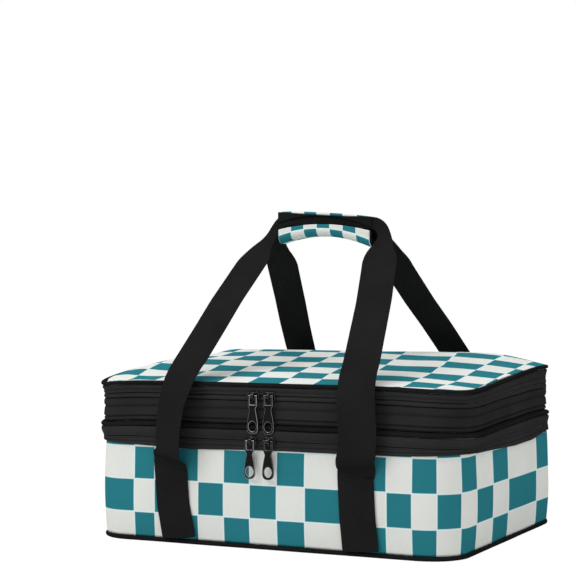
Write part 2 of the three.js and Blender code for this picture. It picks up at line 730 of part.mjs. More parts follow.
const topTapeHigh = topZip - coilRoom;
const topTape = [[topCoilOut, topTapeZ + FIT_GAP / 2], [topCoilOut, topTapeHigh]];
piece(upperFrame, 'top_zip_tape', wall(topTape, BAND), blackCloth);
const topCoil = coil(topCoilOut, topTapeHigh + FIT_GAP, topZip - FIT_GAP / 2);
piece(upperFrame, 'top_zip_coil', topCoil, coilPlastic);
const topBinding = hingeBinding(topCoilOut, bandHigh - ribPitch, lidBandLow - FIT_GAP);
piece(upperFrame, 'top_hinge_binding', topBinding, blackCloth);

// Lid: band with the upper half of the top zip, piping and the crowned, insulated top.
const lid = assembly('lid');
const lidCoilLow = topZip + FIT_GAP / 2;
piece(lid, 'lid_zip_coil', coil(topCoilOut, lidCoilLow, lidCoilLow + COIL_HEIGHT), coilPlastic);
const lidBand = wall([[topCoilOut, lidBandLow], [topCoilOut, lidPipingZ - FIT_GAP / 2]], BAND);
piece(lid, 'lid_band', raiseBack(lidBand), blackCloth);
const lidCord = piping(LID_PIPING_OUT, lidPipingZ + LID_PIPING / 2 + FIT_GAP / 2, LID_PIPING);
piece(lid, 'lid_piping', raiseBack(lidCord), blackCloth);
const lidEdge = LID_PIPING_OUT - LID_PIPING / 2 - 2 * FIT_GAP;
piece(lid, 'lid_cover', raiseBack(crownedLayer(lidEdge, 0, COVER)), checkedCloth);
const lidFoam = crownedLayer(topCoilOut - BAND - FIT_GAP, lidFoamDepth, lidFoamDepth + LID_FOAM);
piece(lid, 'lid_foam', raiseBack(lidFoam), paleFoam);
const lidLiner = crownedLayer(topCoilOut - BAND - FIT_GAP, lidLinerDepth, lidLinerDepth + LINER);
piece(lid, 'lid_liner', raiseBack(lidLiner), foilLiner);

// Handle: feet that bow out from the tacks, the two strap loops and the wrap that rides on the back one.
for (const [faceName, facing] of Object.entries(faces)) {
  const feet = assembly(`${faceName}_strap_feet`);
  for (const [sideName, sign] of Object.entries(sides)) {
    const name = `${faceName}_${sideName}_strap_foot`;
    piece(feet, name, strapFoot(sign * STRAP_X, facing), blackWebbing);
  }
  const loop = assembly(`${faceName}_loop`);
  piece(loop, `${faceName}_strap_loop`, strapLoop(facing), blackWebbing);
  if (faceName === 'back') {
    piece(loop, 'handle_wrap', sleeve(0, WRAP_SKIN, 0), checkedCloth);
    piece(loop, 'handle_wrap_lining', sleeve(WRAP_SKIN + FIT_GAP, WRAP_LINING, FIT_GAP), blackCloth);
  }
}

// Zip hardware: a pair of sliders at the front middle of each zip, each with its hanging pull.
const halfDepth = CASE_DEPTH / 2;
const zips = {
  mid: {
    level: midZip,
    rest: MID_SLIDERS_X,
    plateStart: halfDepth + DECK_SWELL + FIT_GAP,
    tapeFace: halfDepth + midCoilOut + FIT_GAP,
    tapeLow: -MID_TAPE_LOWER,
  },
  top: {
    level: topZip,
    rest: TOP_SLIDERS_X,
    plateStart: halfDepth + COIL_DEPTH,
    tapeFace: halfDepth + topCoilOut + FIT_GAP,
    tapeLow: -TOP_TAPE_LOWER + FIT_GAP / 2,
  },
};
for (const [zipName, zip] of Object.entries(zips)) {
  for (const [i, sideName] of Object.keys(sides).entries()) {
    const runner = assembly(`${zipName}_${sideName}_runner`);
    runner.position.set(zip.rest[i], 0, zip.level);
    const body = slider(zip.plateStart, zip.tapeFace, zip.tapeLow);
    piece(runner, `${zipName}_${sideName}_slider`, body, gunmetal);
    const axisLine = zip.plateStart + SLIDER_PLATE + bailInside / 2;
    piece(runner, `${zipName}_${sideName}_pull`, pull(axisLine), gunmetal);
  }
}

export default carrier;
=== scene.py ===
"""Insulated two-compartment casserole carrier, folded down, with its webbing handle standing."""
import math

import bmesh
import bpy
import numpy as np
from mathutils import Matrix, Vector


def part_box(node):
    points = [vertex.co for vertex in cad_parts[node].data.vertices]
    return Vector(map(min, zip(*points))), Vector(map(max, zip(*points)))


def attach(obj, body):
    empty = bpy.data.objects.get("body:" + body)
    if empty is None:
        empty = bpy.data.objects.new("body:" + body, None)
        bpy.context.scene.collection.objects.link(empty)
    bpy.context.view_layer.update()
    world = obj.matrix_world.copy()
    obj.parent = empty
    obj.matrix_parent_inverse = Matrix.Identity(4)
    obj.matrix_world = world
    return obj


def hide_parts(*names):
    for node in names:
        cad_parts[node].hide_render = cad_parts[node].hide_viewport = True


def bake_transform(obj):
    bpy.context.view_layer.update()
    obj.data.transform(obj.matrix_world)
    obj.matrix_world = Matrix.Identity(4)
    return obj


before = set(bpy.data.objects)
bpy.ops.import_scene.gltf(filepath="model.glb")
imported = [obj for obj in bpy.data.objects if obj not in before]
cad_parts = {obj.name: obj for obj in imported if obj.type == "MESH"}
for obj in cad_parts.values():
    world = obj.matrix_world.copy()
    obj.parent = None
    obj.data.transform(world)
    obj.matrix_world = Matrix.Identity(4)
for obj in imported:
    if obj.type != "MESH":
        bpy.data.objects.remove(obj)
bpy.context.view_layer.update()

# Studio: a pale sweep of paper under even soft light, and a long lens a little above the lid, turned to the
# right of the front so that the right wall shows.
scene = bpy.context.scene
scene.view_settings.view_transform = "Standard"

lens = bpy.data.cameras.new("studio_lens")
lens.sensor_width = 36.0
lens.lens = 99.2
camera = bpy.data.objects.new("studio_camera", lens)
camera.location = (0.7127, -1.5956, 0.2513)
camera.rotation_euler = (math.radians(90.417), 0.0, math.radians(25.665))
scene.collection.objects.link(camera)
scene.camera = camera


def wire(tree, kind, inputs=(), **settings):
    """One shader node. settings are its own properties; inputs gives each named or numbered socket a value,
    or the output socket of another node."""
    made = tree.nodes.new("ShaderNode" + kind)
    for key, value in settings.items():
        setattr(made, key, value)
    for key, value in dict(inputs).items():
        if isinstance(value, bpy.types.NodeSocket):
            tree.links.new(value, made.inputs[key])
        else:
            made.inputs[key].default_value = value
    return made


def reckon(tree, operation, *values):
    """The result of a sum in the shader, on one to three values."""
    return wire(tree, "Math", enumerate(values), operation=operation).outputs[0]


def between(tree, value, low, high, least=0.0, most=1.0):
    """A value that runs from least to most, carried over to the range from low to high."""
    limits = {"From Min": least, "From Max": most, "To Min": low, "To Max": high}
    return wire(tree, "MapRange", {"Value": value, **limits}).outputs[0]


def seen_ray(tree):
    """1 for rays that the lens, a reflection or a clear piece sees directly, 0 for the light that falls."""
    path = wire(tree, "LightPath").outputs
    shiny = reckon(tree, "MAXIMUM", path["Is Glossy Ray"], path["Is Transmission Ray"])
    return reckon(tree, "MAXIMUM", path["Is Camera Ray"], shiny)


WHITE = (1.0, 1.0, 1.0, 1.0)
AIR_LIGHT, PAPER_GLOW, PAPER_SHARE = 0.62, 1.06, 0.92
world = bpy.data.worlds.new("studio_air")
world.use_nodes = True
scene.world = world
air = world.node_tree
air.nodes.clear()
soft_air = wire(air, "Background", {"Color": WHITE, "Strength": AIR_LIGHT})
white_air = wire(air, "Background", {"Color": WHITE, "Strength": 1.0})
either = wire(air, "MixShader", {0: seen_ray(air), 1: soft_air.outputs[0], 2: white_air.outputs[0]})
wire(air, "OutputWorld", {0: either.outputs[0]})

# Each lamp: its place, what it faces, the side of its square in metres and its power in watts.
lamp_plan = {
    "key_window": ((-1.1, -2.0, 1.9), (-0.05, 0.0, 0.12), 1.5, 26.0),
    "top_window": ((0.2, 0.0, 2.3), (0.0, 0.0, 0.15), 1.8, 16.0),
    "side_window": ((2.0, -0.6, 1.3), (0.1, 0.0, 0.12), 1.3, 2.2),
}
for lamp_name, (place, aim, side, power) in lamp_plan.items():
    glow = bpy.data.lights.new(lamp_name, "AREA")
    glow.size = side
    glow.energy = power
    lamp = bpy.data.objects.new(lamp_name, glow)
    lamp.location = place
    away = np.array(aim) - np.array(place)
    tilt = math.atan2(np.hypot(away[0], away[1]), -away[2])
    lamp.rotation_euler = (tilt, 0.0, math.atan2(-away[0], away[1]))
    scene.collection.objects.link(lamp)

paper = bpy.data.materials.new("studio_paper")
paper.use_nodes = True
sheet_tree = paper.node_tree
sheet_tree.nodes.clear()
grain = wire(sheet_tree, "TexNoise", {"Scale": 3.0, "Detail": 2.0})
matt = wire(sheet_tree, "BsdfDiffuse", {"Color": between(sheet_tree, grain.outputs[0], 0.80, 0.82)})
bright = wire(sheet_tree, "Emission", {"Color": WHITE, "Strength": PAPER_GLOW})
share = reckon(sheet_tree, "MULTIPLY", seen_ray(sheet_tree), PAPER_SHARE)
paper_mix = wire(sheet_tree, "MixShader", {0: share, 1: matt.outputs[0], 2: bright.outputs[0]})
wire(sheet_tree, "OutputMaterial", {0: paper_mix.outputs[0]})
floor_mesh = bpy.data.meshes.new("studio_floor")
floor_mesh.from_pydata([(-9, -9, 0), (9, -9, 0), (9, 9, 0), (-9, 9, 0)], [], [(0, 1, 2, 3)])
floor_mesh.materials.append(paper)
floor = bpy.data.objects.new("studio_floor", floor_mesh)
scene.collection.objects.link(floor)

# Base: black canvas drawn tight over a stiffener board, with the plan that every ring of the case follows.
# The edge of the canvas is turned up a little, into the seam of the bottom piping.
CASE_WIDTH, CASE_DEPTH, CORNER = 408.0, 340.0, 42.0
STRAIGHT_X, STRAIGHT_Y = CASE_WIDTH / 2 - CORNER, CASE_DEPTH / 2 - CORNER
BEND = math.pi / 2 * CORNER
END_RUNS = [BEND, 2 * STRAIGHT_Y, BEND]
MARKS = np.cumsum([0, STRAIGHT_X, *END_RUNS, 2 * STRAIGHT_X, *END_RUNS, STRAIGHT_X])
ROUND = MARKS[-1]


def round_case(s, outset):
    """Point at length s round the case from the middle of the front, to the right, and outset beyond the
    wall: the inner rectangle's point C(s) plus (corner radius + outset) times the outward direction n(s)."""
    s = np.mod(s, ROUND)
    turn = np.radians(np.interp(s, MARKS, [-90, -90, 0, 0, 90, 90, 180, 180, 270, 270]))
    a, b = STRAIGHT_X, STRAIGHT_Y
    inner_x = np.interp(s, MARKS, [0, a, a, a, a, -a, -a, -a, -a, 0])
    inner_y = np.interp(s, MARKS, [-b, -b, -b, b, b, b, b, -b, -b, -b])
    reach = CORNER + outset
    return inner_x + reach * np.cos(turn), inner_y + reach * np.sin(turn)


def set_out(mesh):
    """Puts a finished mesh into the scene, smoothly shaded."""
    mesh.shade_smooth()
    obj = bpy.data.objects.new(mesh.name, mesh)
    scene.collection.objects.link(obj)
    return obj


def lay(*parts):
    """Grid of points from coordinates that may each run one way only."""
    return np.stack(np.broadcast_arrays(*parts), -1)


def make_piece(name, grid, closed=(False, False), flat=None, prints=None):
    """Mesh of quads over a grid of points [i, j, xyz] in mm. closed says which of i and j runs back to its
    start; an open run of closed sections gets end faces. flat is each point's place on the cut cloth, in mm,
    one longer in a closed direction, and becomes a UV map in metres; prints likewise is its place in the
    print, in checks."""
    rows, cols = grid.shape[:2]
    i, j = np.meshgrid(np.arange(rows - 1 + closed[0]), np.arange(cols - 1 + closed[1]), indexing="ij")
    corner_i = lay(i, i + 1, i + 1, i).reshape(-1, 4)
    corner_j = lay(j, j, j + 1, j + 1).reshape(-1, 4)
    faces = (corner_i % rows) * cols + corner_j % cols
    points = grid.reshape(-1, 3) * 0.001
    a, b, c, d = (points[faces[:, k]] for k in range(4))
    inside_out = (a * np.cross(b, c)).sum() + (a * np.cross(c, d)).sum() < 0
    if inside_out:
        faces, corner_i, corner_j = faces[:, ::-1], corner_i[:, ::-1], corner_j[:, ::-1]
    shell = faces.tolist()
    if closed[1] and not closed[0]:
        first, last = list(range(cols)), list(range((rows - 1) * cols, rows * cols))
        shell += [first[::-1], last] if inside_out else [first, last[::-1]]
    mesh = bpy.data.meshes.new(name)
    mesh.from_pydata(points.tolist(), [], shell)
    for layer, places in (("cloth", flat if flat is None else flat * 0.001), ("print", prints)):
        if places is not None:
            uv = np.zeros((len(mesh.loops), 2))
            uv[:faces.size] = places[corner_i.ravel(), corner_j.ravel()]
            mesh.uv_layers.new(name=layer).data.foreach_set("uv", uv.ravel())
    return set_out(mesh)


def close_poles(obj):
    """Merges the points that meet at the middle of a panel."""
    work = bmesh.new()
    work.from_mesh(obj.data)
    bmesh.ops.remove_doubles(work, verts=work.verts, dist=1e-6)
    work.to_mesh(obj.data)
    work.free()


def dress(obj, finish, body, slot, *nodes):
    """Gives a piece its finish and the body that it moves with, and hides the solids that it stands for; slot
    is not used.
    """
    obj.data.materials.append(finish)
    if body is not None:
        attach(obj, body)
    if nodes:
        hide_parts(*nodes)
    return obj


def panel(name, outset, under, over, rings=26, prints=None, edge=None):
    """A closed panel on the case's plan. A point lies at the share q of the way out to the edge line, first
    on the underside from the middle out and then back on the top: q * edge line, height under(x, y) or
    over(x, y). edge(s), if any, lifts the edge, and fades inwards as q cubed."""
    s = np.arange(0, ROUND, 6.0)
    q = 1 - (1 - np.linspace(0, 1, rings)) ** 1.7
    q = np.concatenate([q, q[::-1]])
    edge_x, edge_y = round_case(s, outset)
    x, y = np.outer(edge_x, q), np.outer(edge_y, q)
    z = np.concatenate([under(x[:, :rings], y[:, :rings]), over(x[:, rings:], y[:, rings:])], axis=1)
    if edge:
        z += np.outer(edge(s), q ** 3)
    grid = lay(x, y, z)
    flat = np.concatenate([grid[..., :2], grid[:1, :, :2]])
    obj = make_piece(name, grid, (True, False), flat, prints and prints(flat[..., 0], flat[..., 1]))
    close_poles(obj)
    return obj


def new_finish(name):
    """A finish to be worked out: the material, its tree, its shader's sockets and its coordinates."""
    finish = bpy.data.materials.new(name)
    finish.use_nodes = True
    tree = finish.node_tree
    return finish, tree, tree.nodes["Principled BSDF"].inputs, wire(tree, "TexCoord").outputs


def tint(tree, shader, color, shade):
    """Base colour: a linear colour times a shade."""
    mixed = wire(tree, "Mix", {"Factor": 1.0, 6: (*color, 1.0), 7: shade},
                 data_type="RGBA", blend_type="MULTIPLY")
    tree.links.new(mixed.outputs[2], shader["Base Color"])


def flecks(tree, place, scale, detail):
    """Noise that is fixed to the piece, scale times to the metre."""
    return wire(tree, "TexNoise", {"Vector": place["Object"], "Scale": scale, "Detail": detail}).outputs[0]


def emboss(tree, shader, height, strength, distance):
    """Fine relief that only the light sees: a height, at a strength and a depth in metres."""
    bump = wire(tree, "Bump", {"Strength": strength, "Distance": distance, "Height": height})
    tree.links.new(bump.outputs[0], shader["Normal"])


def woven(name, color, thread, rough, relief, fuzz=0.25, shine=0.0):
    """Plain woven cloth: threads over and under as sin(u) * sin(v) on the cloth's own flat place, and a slow
    unevenness of the dye. color is linear; thread is the repeat in metres."""
    finish, tree, shader, place = new_finish(name)
    shader["Specular IOR Level"].default_value = shine
    parts = wire(tree, "SeparateXYZ", {0: place["UV"]}).outputs
    turns = [reckon(tree, "MULTIPLY", parts[axis], 2 * math.pi / thread) for axis in (0, 1)]
    weave = reckon(tree, "MULTIPLY", *(reckon(tree, "SINE", turn) for turn in turns))
    patch = flecks(tree, place, 22.0, 5.0)
    spread = reckon(tree, "ADD", patch, flecks(tree, place, 900.0, 2.0))
    shade = between(tree, spread, 1 - fuzz, 1 + fuzz, 0.6, 1.4)
    tint(tree, shader, color, reckon(tree, "MULTIPLY_ADD", weave, 0.12, shade))
    emboss(tree, shader, reckon(tree, "MULTIPLY_ADD", patch, 6.0, weave), relief, 0.0001)
    tree.links.new(between(tree, spread, rough - 0.06, rough + 0.06, 0.6, 1.4), shader["Roughness"])
    return finish


black_canvas = woven("black_canvas", (0.0245, 0.0245, 0.0248), thread=0.0009, rough=0.6, relief=0.5)
base_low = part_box("base_panel")[0].z * 1000
TURN_UP, TURN_RUN, TURN_REACH = 0.5, 5.0, 8.0


def base_under(x, y):
    """Flat on the table, turned up over the last few millimetres of the edge."""
    past_x = np.maximum(np.abs(x) - CASE_WIDTH / 2 + TURN_REACH, 0)
    past_y = np.maximum(np.abs(y) - CASE_DEPTH / 2 + TURN_REACH, 0)
    return base_low + TURN_UP * np.clip((past_x ** 2 + past_y ** 2) / TURN_RUN ** 2, 0, 1)


base_cloth = panel("base_cloth", -3.1, base_under, lambda x, y: np.full_like(x, base_low + 1.0), rings=12)
dress(base_cloth, black_canvas, "lower_case", "black_cloth", "base_panel")

# Bottom piping: a filler cord in black bias tape, sewn into the seam between the base and the wall. Its
# flange is caught in the seam, so only the round shows, a little uneven where the needle passed.
LINE_STEP = 3.0


def wander(s, seed):
    """Slow unevenness of hand sewing, about one high: four sines that close round the case, seeded phases."""
    draw = np.random.default_rng(seed)
    turns = draw.integers(3, 17, 4)
    phases = draw.uniform(0, 2 * math.pi, 4)
    return np.sin(np.multiply.outer(s, turns) * 2 * math.pi / ROUND + phases).sum(-1) / 2.5


def length_along(path):
    """Length along a path at each of its points: the running sum of its steps."""
    return np.append(0, np.cumsum(np.hypot(*np.diff(path, axis=0).T)))


def band(name, profile, sway=0.0, lift=0.0, seed=1, run=None, step=LINE_STEP, shape=None, prints=None):
    """A closed profile of (outset, height) in mm carried round the case, or along run = (start, end) of it.
    Point (s, k) lies at round_case(s, outset_k + sway * wander(s)), height_k + lift * wander(s), after
    shape(s) if any has moved the profile."""
    profile = np.asarray(profile, float)
    start, end = run if run else (-ROUND / 2, ROUND / 2)
    count = int(round((end - start) / step))
    s = start + (end - start) * np.arange(count + bool(run)) / count
    outset = profile[:, 0] + sway * wander(s, seed)[:, None]
    height = profile[:, 1] + lift * wander(s, seed + 50)[:, None]
    if shape:
        outset, height = shape(s[:, None], outset, height)
    x, y = round_case(s[:, None], outset)
    grid = lay(x, y, height)
    ring = profile[np.r_[:len(profile), 0]]
    along = (s if run else np.append(s, end))[:, None]
    printed = prints and lay(*prints(along, ring[None, :, 1]))
    return make_piece(name, grid, (not run, True), lay(along, length_along(ring)[None, :]), printed)


def round_cord(outset, height, radius, sides=14):
    """Circle of points (outset, height)."""
    angle = np.linspace(0, 2 * math.pi, sides, endpoint=False)
    return lay(outset + radius * np.cos(angle), height + radius * np.sin(angle))


bias_tape = woven("black_bias_tape", (0.013, 0.013, 0.0133), thread=0.0007, rough=0.5, relief=0.4)
bottom_piping = band("bottom_piping_cord", round_cord(-2.1, 2.55, 2.3), 0.15, 0.12, 3)
dress(bottom_piping, bias_tape, "lower_case", "black_cloth", "bottom_piping")

# Lower wall: one length of printed canvas round the case, teal and off-white checks, over foam. It swells
# between the base seam and the zip seam, and its ends meet in a seam at the middle of the back.
TEAL = (0.024, 0.198, 0.238)
OFF_WHITE = (0.785, 0.797, 0.758)
EDGE_LINE = (0.78, 0.92, 0.93)


def checked(name, line=0.02):
    """Printed canvas. At the place (u, v) in the print the colour is the parity of floor(u) + floor(v); a
    fine paler line, as a share of a check, follows the edges; threads and a slow unevenness cross both."""
    finish = woven(name, (1, 1, 1), thread=0.00085, rough=0.82, relief=0.45, fuzz=0.05, shine=0.006)
    tree = finish.node_tree
    dyed = tree.nodes["Principled BSDF"].inputs["Base Color"].links[0].from_node
    place = wire(tree, "UVMap", uv_map="print").outputs[0]
    lifted = wire(tree, "VectorMath", {0: place, 1: (0.0, 0.0, 0.5)}, operation="ADD").outputs[0]
    prints = wire(tree, "TexChecker", {"Vector": lifted, "Color1": (*OFF_WHITE, 1.0), "Color2": (*TEAL, 1.0),
                                       "Scale": 1.0}).outputs[0]
    parts = wire(tree, "SeparateXYZ", {0: place}).outputs
    close = reckon(tree, "MINIMUM", *(reckon(tree, "PINGPONG", parts[axis], 0.5) for axis in (0, 1)))
    drawn = between(tree, close, 0.85, 0.0, line * 0.6, line * 1.3)
    inked = wire(tree, "Mix", {0: drawn, 6: prints, 7: (*EDGE_LINE, 1.0)}, data_type="RGBA")
    tree.links.new(inked.outputs[2], dyed.inputs[6])
    return finish


# Column edges of the print in mm round the case from the middle of the front; the even rows dip at the left.
BACK_LINES = [446.8, 497.0, 545.0, 575.5, 605.8, 636.1, 666.4, 696.7, 727.2]
RIGHT_LINES = [15.0, 45.7, 90.0, 133.3, 159.4, 184.0, 210.4, 246.7, 296.2, 346.9, *BACK_LINES]
LEFT_LINES = [15.2, 45.0, 74.5, 100.0, 125.7, 149.6, 203.0, 246.7, 296.2, 346.9, 396.9, *BACK_LINES]
COLUMN_LINES = np.concatenate([-np.array(LEFT_LINES[::-1]), RIGHT_LINES])
COLUMN_COUNT = np.arange(len(COLUMN_LINES)) - len(LEFT_LINES) + 1.0
ROW_LINE, ROW = 30.9, 34.1
ROW_DIP = [[-230, -160, -60], [1.3, 0.5, 0.0]]
TOP_ROW = [[380, 450, 540, 620], [34.1, 39.0, 39.0, 34.1]]
WALL_LOW, WALL_HIGH, WALL_MIDDLE = 4.9, 103.6, 50.0
SWELL, DENT, CANVAS = 0.8, 0.28, 0.8
DRAWN_LOW, DRAWN_HIGH, REACH_LOW, REACH_HIGH = 2.3, 1.3, 45.0, 50.0


def wall_swell(z):
    """Outset of the wall at a height: a flat crown at the middle, drawn in to each seam as a parabola."""
    low = SWELL - DRAWN_LOW * ((WALL_MIDDLE - z) / REACH_LOW) ** 2
    high = SWELL - DRAWN_HIGH * ((z - WALL_MIDDLE) / REACH_HIGH) ** 2
    return np.where(z < WALL_MIDDLE, low, high)


def soft_dents(s, outset, height):
    """Shallow dents of soft foam under the canvas: crossing slow waves, fading to nothing at the seams."""
    fade = np.sin(np.clip((height - WALL_LOW) / (WALL_HIGH - WALL_LOW), 0, 1) * math.pi)
    slow = np.sin(s / 31 + height / 23) * np.sin(s / 47 - height / 35 + 1.3)
    return outset + DENT * fade * (slow + 0.5 * np.sin(s / 13 + height / 17)), height


def wall_rows(s, z):
    """Row of the print at a height: rows above the first line, the top row taller at the rear right."""
    level = z - ROW_LINE + np.interp(s, *ROW_DIP)
    return np.where(level > ROW, 1 + (level - ROW) / np.interp(s, *TOP_ROW), level / ROW)


wall_z = np.linspace(WALL_LOW, WALL_HIGH, 40)
wall_outer = lay(wall_swell(wall_z), wall_z)
wall_inner = lay(wall_swell(wall_z[::-6]) - CANVAS, wall_z[::-6])
wall_cloth = band("lower_wall_cloth", np.concatenate([wall_outer, wall_inner]), 0.2, 0.0, 5, shape=soft_dents,
                  prints=lambda s, z: (np.interp(s, COLUMN_LINES, COLUMN_COUNT), wall_rows(s, z)))
wall_print = checked("teal_checked_canvas")
dress(wall_cloth, wall_print, "lower_case", "checked_cloth", "lower_wall_cover")

# Lower liner: silver foil film heat-sealed into a tub, laid against white foam. The film is crinkled all
# over, and its top edge is bound together with the foam by a black tape.


def foil(name, tone):
    """Aluminised film: bright metal with the fine crinkles of handled foil."""
    finish, tree, shader, place = new_finish(name)
    shader["Metallic"].default_value = 0.85
    folds = wire(tree, "TexVoronoi", {"Vector": place["Object"], "Scale": 70.0}, feature="SMOOTH_F1")
    fine = flecks(tree, place, 160.0, 4.0)
    emboss(tree, shader, reckon(tree, "ADD", folds.outputs[0], fine), 0.5, 0.0012)
    tree.links.new(between(tree, fine, 0.2, 0.42), shader["Roughness"])
    tree.links.new(between(tree, fine, tone - 0.08, tone + 0.06), shader["Base Color"])
    return finish


def upright_film(face, back, low, high, points):
    """Section of a film that stands upright: up its face and down its back."""
    z = np.linspace(low, high, points)
    return np.concatenate([lay(face, z), lay(back, z[::-1])])


silver_film = foil("silver_foil_film", 0.72)
LINER_OUT = -7.1
dress(band("lower_liner_film", upright_film(LINER_OUT - 0.8, LINER_OUT - 0.1, 9.0, 99.6, 16)),
      silver_film, "lower_case", "foil_liner", "lower_liner")
dress(panel("lower_liner_floor", LINER_OUT - 0.3, lambda x, y: np.full_like(x, 8.4),
            lambda x, y: 9.1 + 0.12 * np.sin(x / 19) * np.sin(y / 23), rings=16),
      silver_film, "lower_case", "foil_liner")


def folded_tape(inner, outer, z, thick):
    """Section of a tape folded over an edge: a low arch from the inner to the outer outset, thick high."""
    angle = np.linspace(0, math.pi, 9)
    middle, half = (inner + outer) / 2, (outer - inner) / 2
    arch = lay(middle + half * np.cos(angle), z + thick * np.sin(angle) ** 0.6)
    return np.concatenate([arch, [[inner, z - 0.4], [outer, z - 0.4]]])


dress(band("lower_rim_tape", folded_tape(-8.2, -1.9, 100.3, 1.4), 0.1, 0.1, 8),
      bias_tape, "lower_case", "black_cloth")

# Middle zip, lower half: a woven black tape sewn over the top of the wall, with a row of lockstitch near its
# edge. From here up the soft bands have settled: they hang at the front corners, and ride up at the left and
# at the rear right corner.
SETTLE_FROM, SETTLE_RUN = 100.0, 14.0
LID_MORE, LID_FROM, LID_RUN = 0.25, 150.0, 15.0
# Settled places: the middle round the case, the spread, how far the bands move up there and how far out.
SETTLED = [
    (245.0, 70.0, -4.2, 0.0), (465.0, 80.0, 2.9, -1.8), (-200.0, 34.0, -3.2, 1.6), (-305.0, 65.0, 5.0, 0.0),
]
TAPE_TOP, TAPE_RUN, STITCH_PITCH = 107.0, 7.0, 3.4
TAPE_EDGE = [[-250, -210, -185, -150, -80, 0, 130, 215, 260, 370, 430, 485, 530, 620],
             [0, 3.6, 2.2, 0.4, -2.0, 0.2, 0, 2.5, 0.2, -2.0, -0.8, 4.6, 4.0, 0]]


def smooth_profile(points, passes=2):
    """Closed profile with its corners cut: each pass keeps the points at 1/4 and 3/4 of every side."""
    points = np.asarray(points, float)
    for _ in range(passes):
        after = np.roll(points, -1, axis=0)
        points = np.stack([points * 0.75 + after * 0.25, points * 0.25 + after * 0.75], 1).reshape(-1, 2)
    return points


def from_front(s):
    """Length round the case from the middle of the front, less than nothing on the left half."""
    return np.mod(s + ROUND / 2, ROUND) - ROUND / 2


def settling(s):
    """How far the bands move up and out at s: a sum of bell curves at the settled places."""
    s = from_front(s)
    bells = [(np.exp(-((s - middle) / spread) ** 2), up, out) for middle, spread, up, out in SETTLED]
    return sum(bell * up for bell, up, out in bells), sum(bell * out for bell, up, out in bells)


def settle(s, outset, height):
    """Moves a ring of the bands to its settled place: nothing at the wall's seam, all of it a little above,
    and a little more at the lid."""
    up, out = settling(s)
    share = np.clip((height - SETTLE_FROM) / SETTLE_RUN, 0, 1)
    share = share + LID_MORE * np.clip((height - LID_FROM) / LID_RUN, 0, 1)
    return outset + out * share, height + up * share


def settle_tape(s, outset, height):
    """The same for the lower tape, whose lower edge was sewn to a wavy line."""
    wavy = np.interp(from_front(s), *TAPE_EDGE)
    return settle(s, outset, height + wavy * np.clip((TAPE_TOP - height) / TAPE_RUN, 0, 1))


zip_tape = woven("black_zip_tape", (0.0295, 0.0295, 0.0298), thread=0.0012, rough=0.5, relief=0.7)
lower_tape_line = [[-0.7, 100.2], [0.5, 99.8], [1.7, 100.5], [1.9, 102.0], [1.0, 103.3], [0.5, 103.8],
                   [1.1, 104.3], [1.7, 105.6], [1.3, 106.8], [0.8, 107.2], [1.3, 107.7], [1.4, 108.5],
                   [1.0, 108.9], [0.6, 108.7], [0.5, 107.0], [-0.7, 106.5]]
dress(band("mid_zip_lower_tape", smooth_profile(lower_tape_line), 0.15, 0.1, 11, shape=settle_tape),
      zip_tape, "lower_case", "black_cloth", "lower_zip_tape")


def unit(ways):
    """Directions made one long."""
    return ways / np.linalg.norm(ways, axis=1)[:, None]


def stitch_row(name, place, along, out, length=2.4, width=0.55):
    """A row of thread stitches: each is a small spindle of six sides at place, lying along and raised out."""
    stations = np.array([[-0.5, 0.0], [-0.3, 0.8], [0.3, 0.8], [0.5, 0.0]])
    angle = np.linspace(0, 2 * math.pi, 6, endpoint=False)
    across = np.cross(out, along)
    t = stations[:, 0][:, None] * length + np.zeros(6)
    r = stations[:, 1][:, None] * width * 0.6
    local = lay(t, r * np.cos(angle), r * np.sin(angle)).reshape(-1, 3)
    points = place[:, None] + local @ np.stack([along, across, out], 1)
    ring, spoke = np.meshgrid(np.arange(3) * 6, np.arange(6), indexing="ij")
    after = (spoke + 1) % 6
    quad = lay(ring + spoke, ring + after, ring + 6 + after, ring + 6 + spoke).reshape(-1, 4)
    faces = (quad[None] + np.arange(len(place))[:, None, None] * 24).reshape(-1, 4)
    mesh = bpy.data.meshes.new(name)
    mesh.from_pydata((points.reshape(-1, 3) * 0.001).tolist(), [], faces[:, ::-1].tolist())
    obj = set_out(mesh)
    close_poles(obj)
    return obj


def seam_round(name, outset, height, shape):
    """Stitches at one outset and height round the case, moved by shape."""
    s = np.arange(STITCH_PITCH / 2, ROUND, STITCH_PITCH)
    out_line, z = shape(s, np.full(len(s), outset), np.full(len(s), height))
    x, y = round_case(s, out_line)
    x2, y2 = round_case(s + 0.5, out_line)
    along = unit(lay(x2 - x, y2 - y, 0.0))
    return stitch_row(name, lay(x, y, z), along, lay(along[:, 1], -along[:, 0], 0.0))


thread = woven("black_thread", (0.026, 0.026, 0.027), thread=0.0004, rough=0.5, relief=0.3)
dress(seam_round("mid_zip_lower_stitches", 0.75, 103.8, settle_tape),
      thread, "lower_case", "black_cloth")

# Zip coils: four half spirals of black nylon, two to a zip, each sewn along the edge of its tape. They run
# along the sides and the front behind the folded edges of the tapes, and stop short of the hinged back.
ZIP_END = MARKS[2] + STRAIGHT_Y + 118.0


def speckled(name, dark, pale, scale, detail, smooth, dull, shine, metallic=0.0):
    """A hard finish: a fine noise between two colours, and a roughness from smooth to dull along with it."""
    finish, tree, shader, place = new_finish(name)
    noise = flecks(tree, place, scale, detail)
    tone = wire(tree, "ValToRGB", {0: noise})
    for stop, color in zip(tone.color_ramp.elements, (dark, pale)):
        stop.color = (*color, 1.0)
    tree.links.new(tone.outputs[0], shader["Base Color"])
    tree.links.new(between(tree, noise, smooth, dull), shader["Roughness"])
    shader["Specular IOR Level"].default_value = shine
    shader["Metallic"].default_value = metallic
    return finish


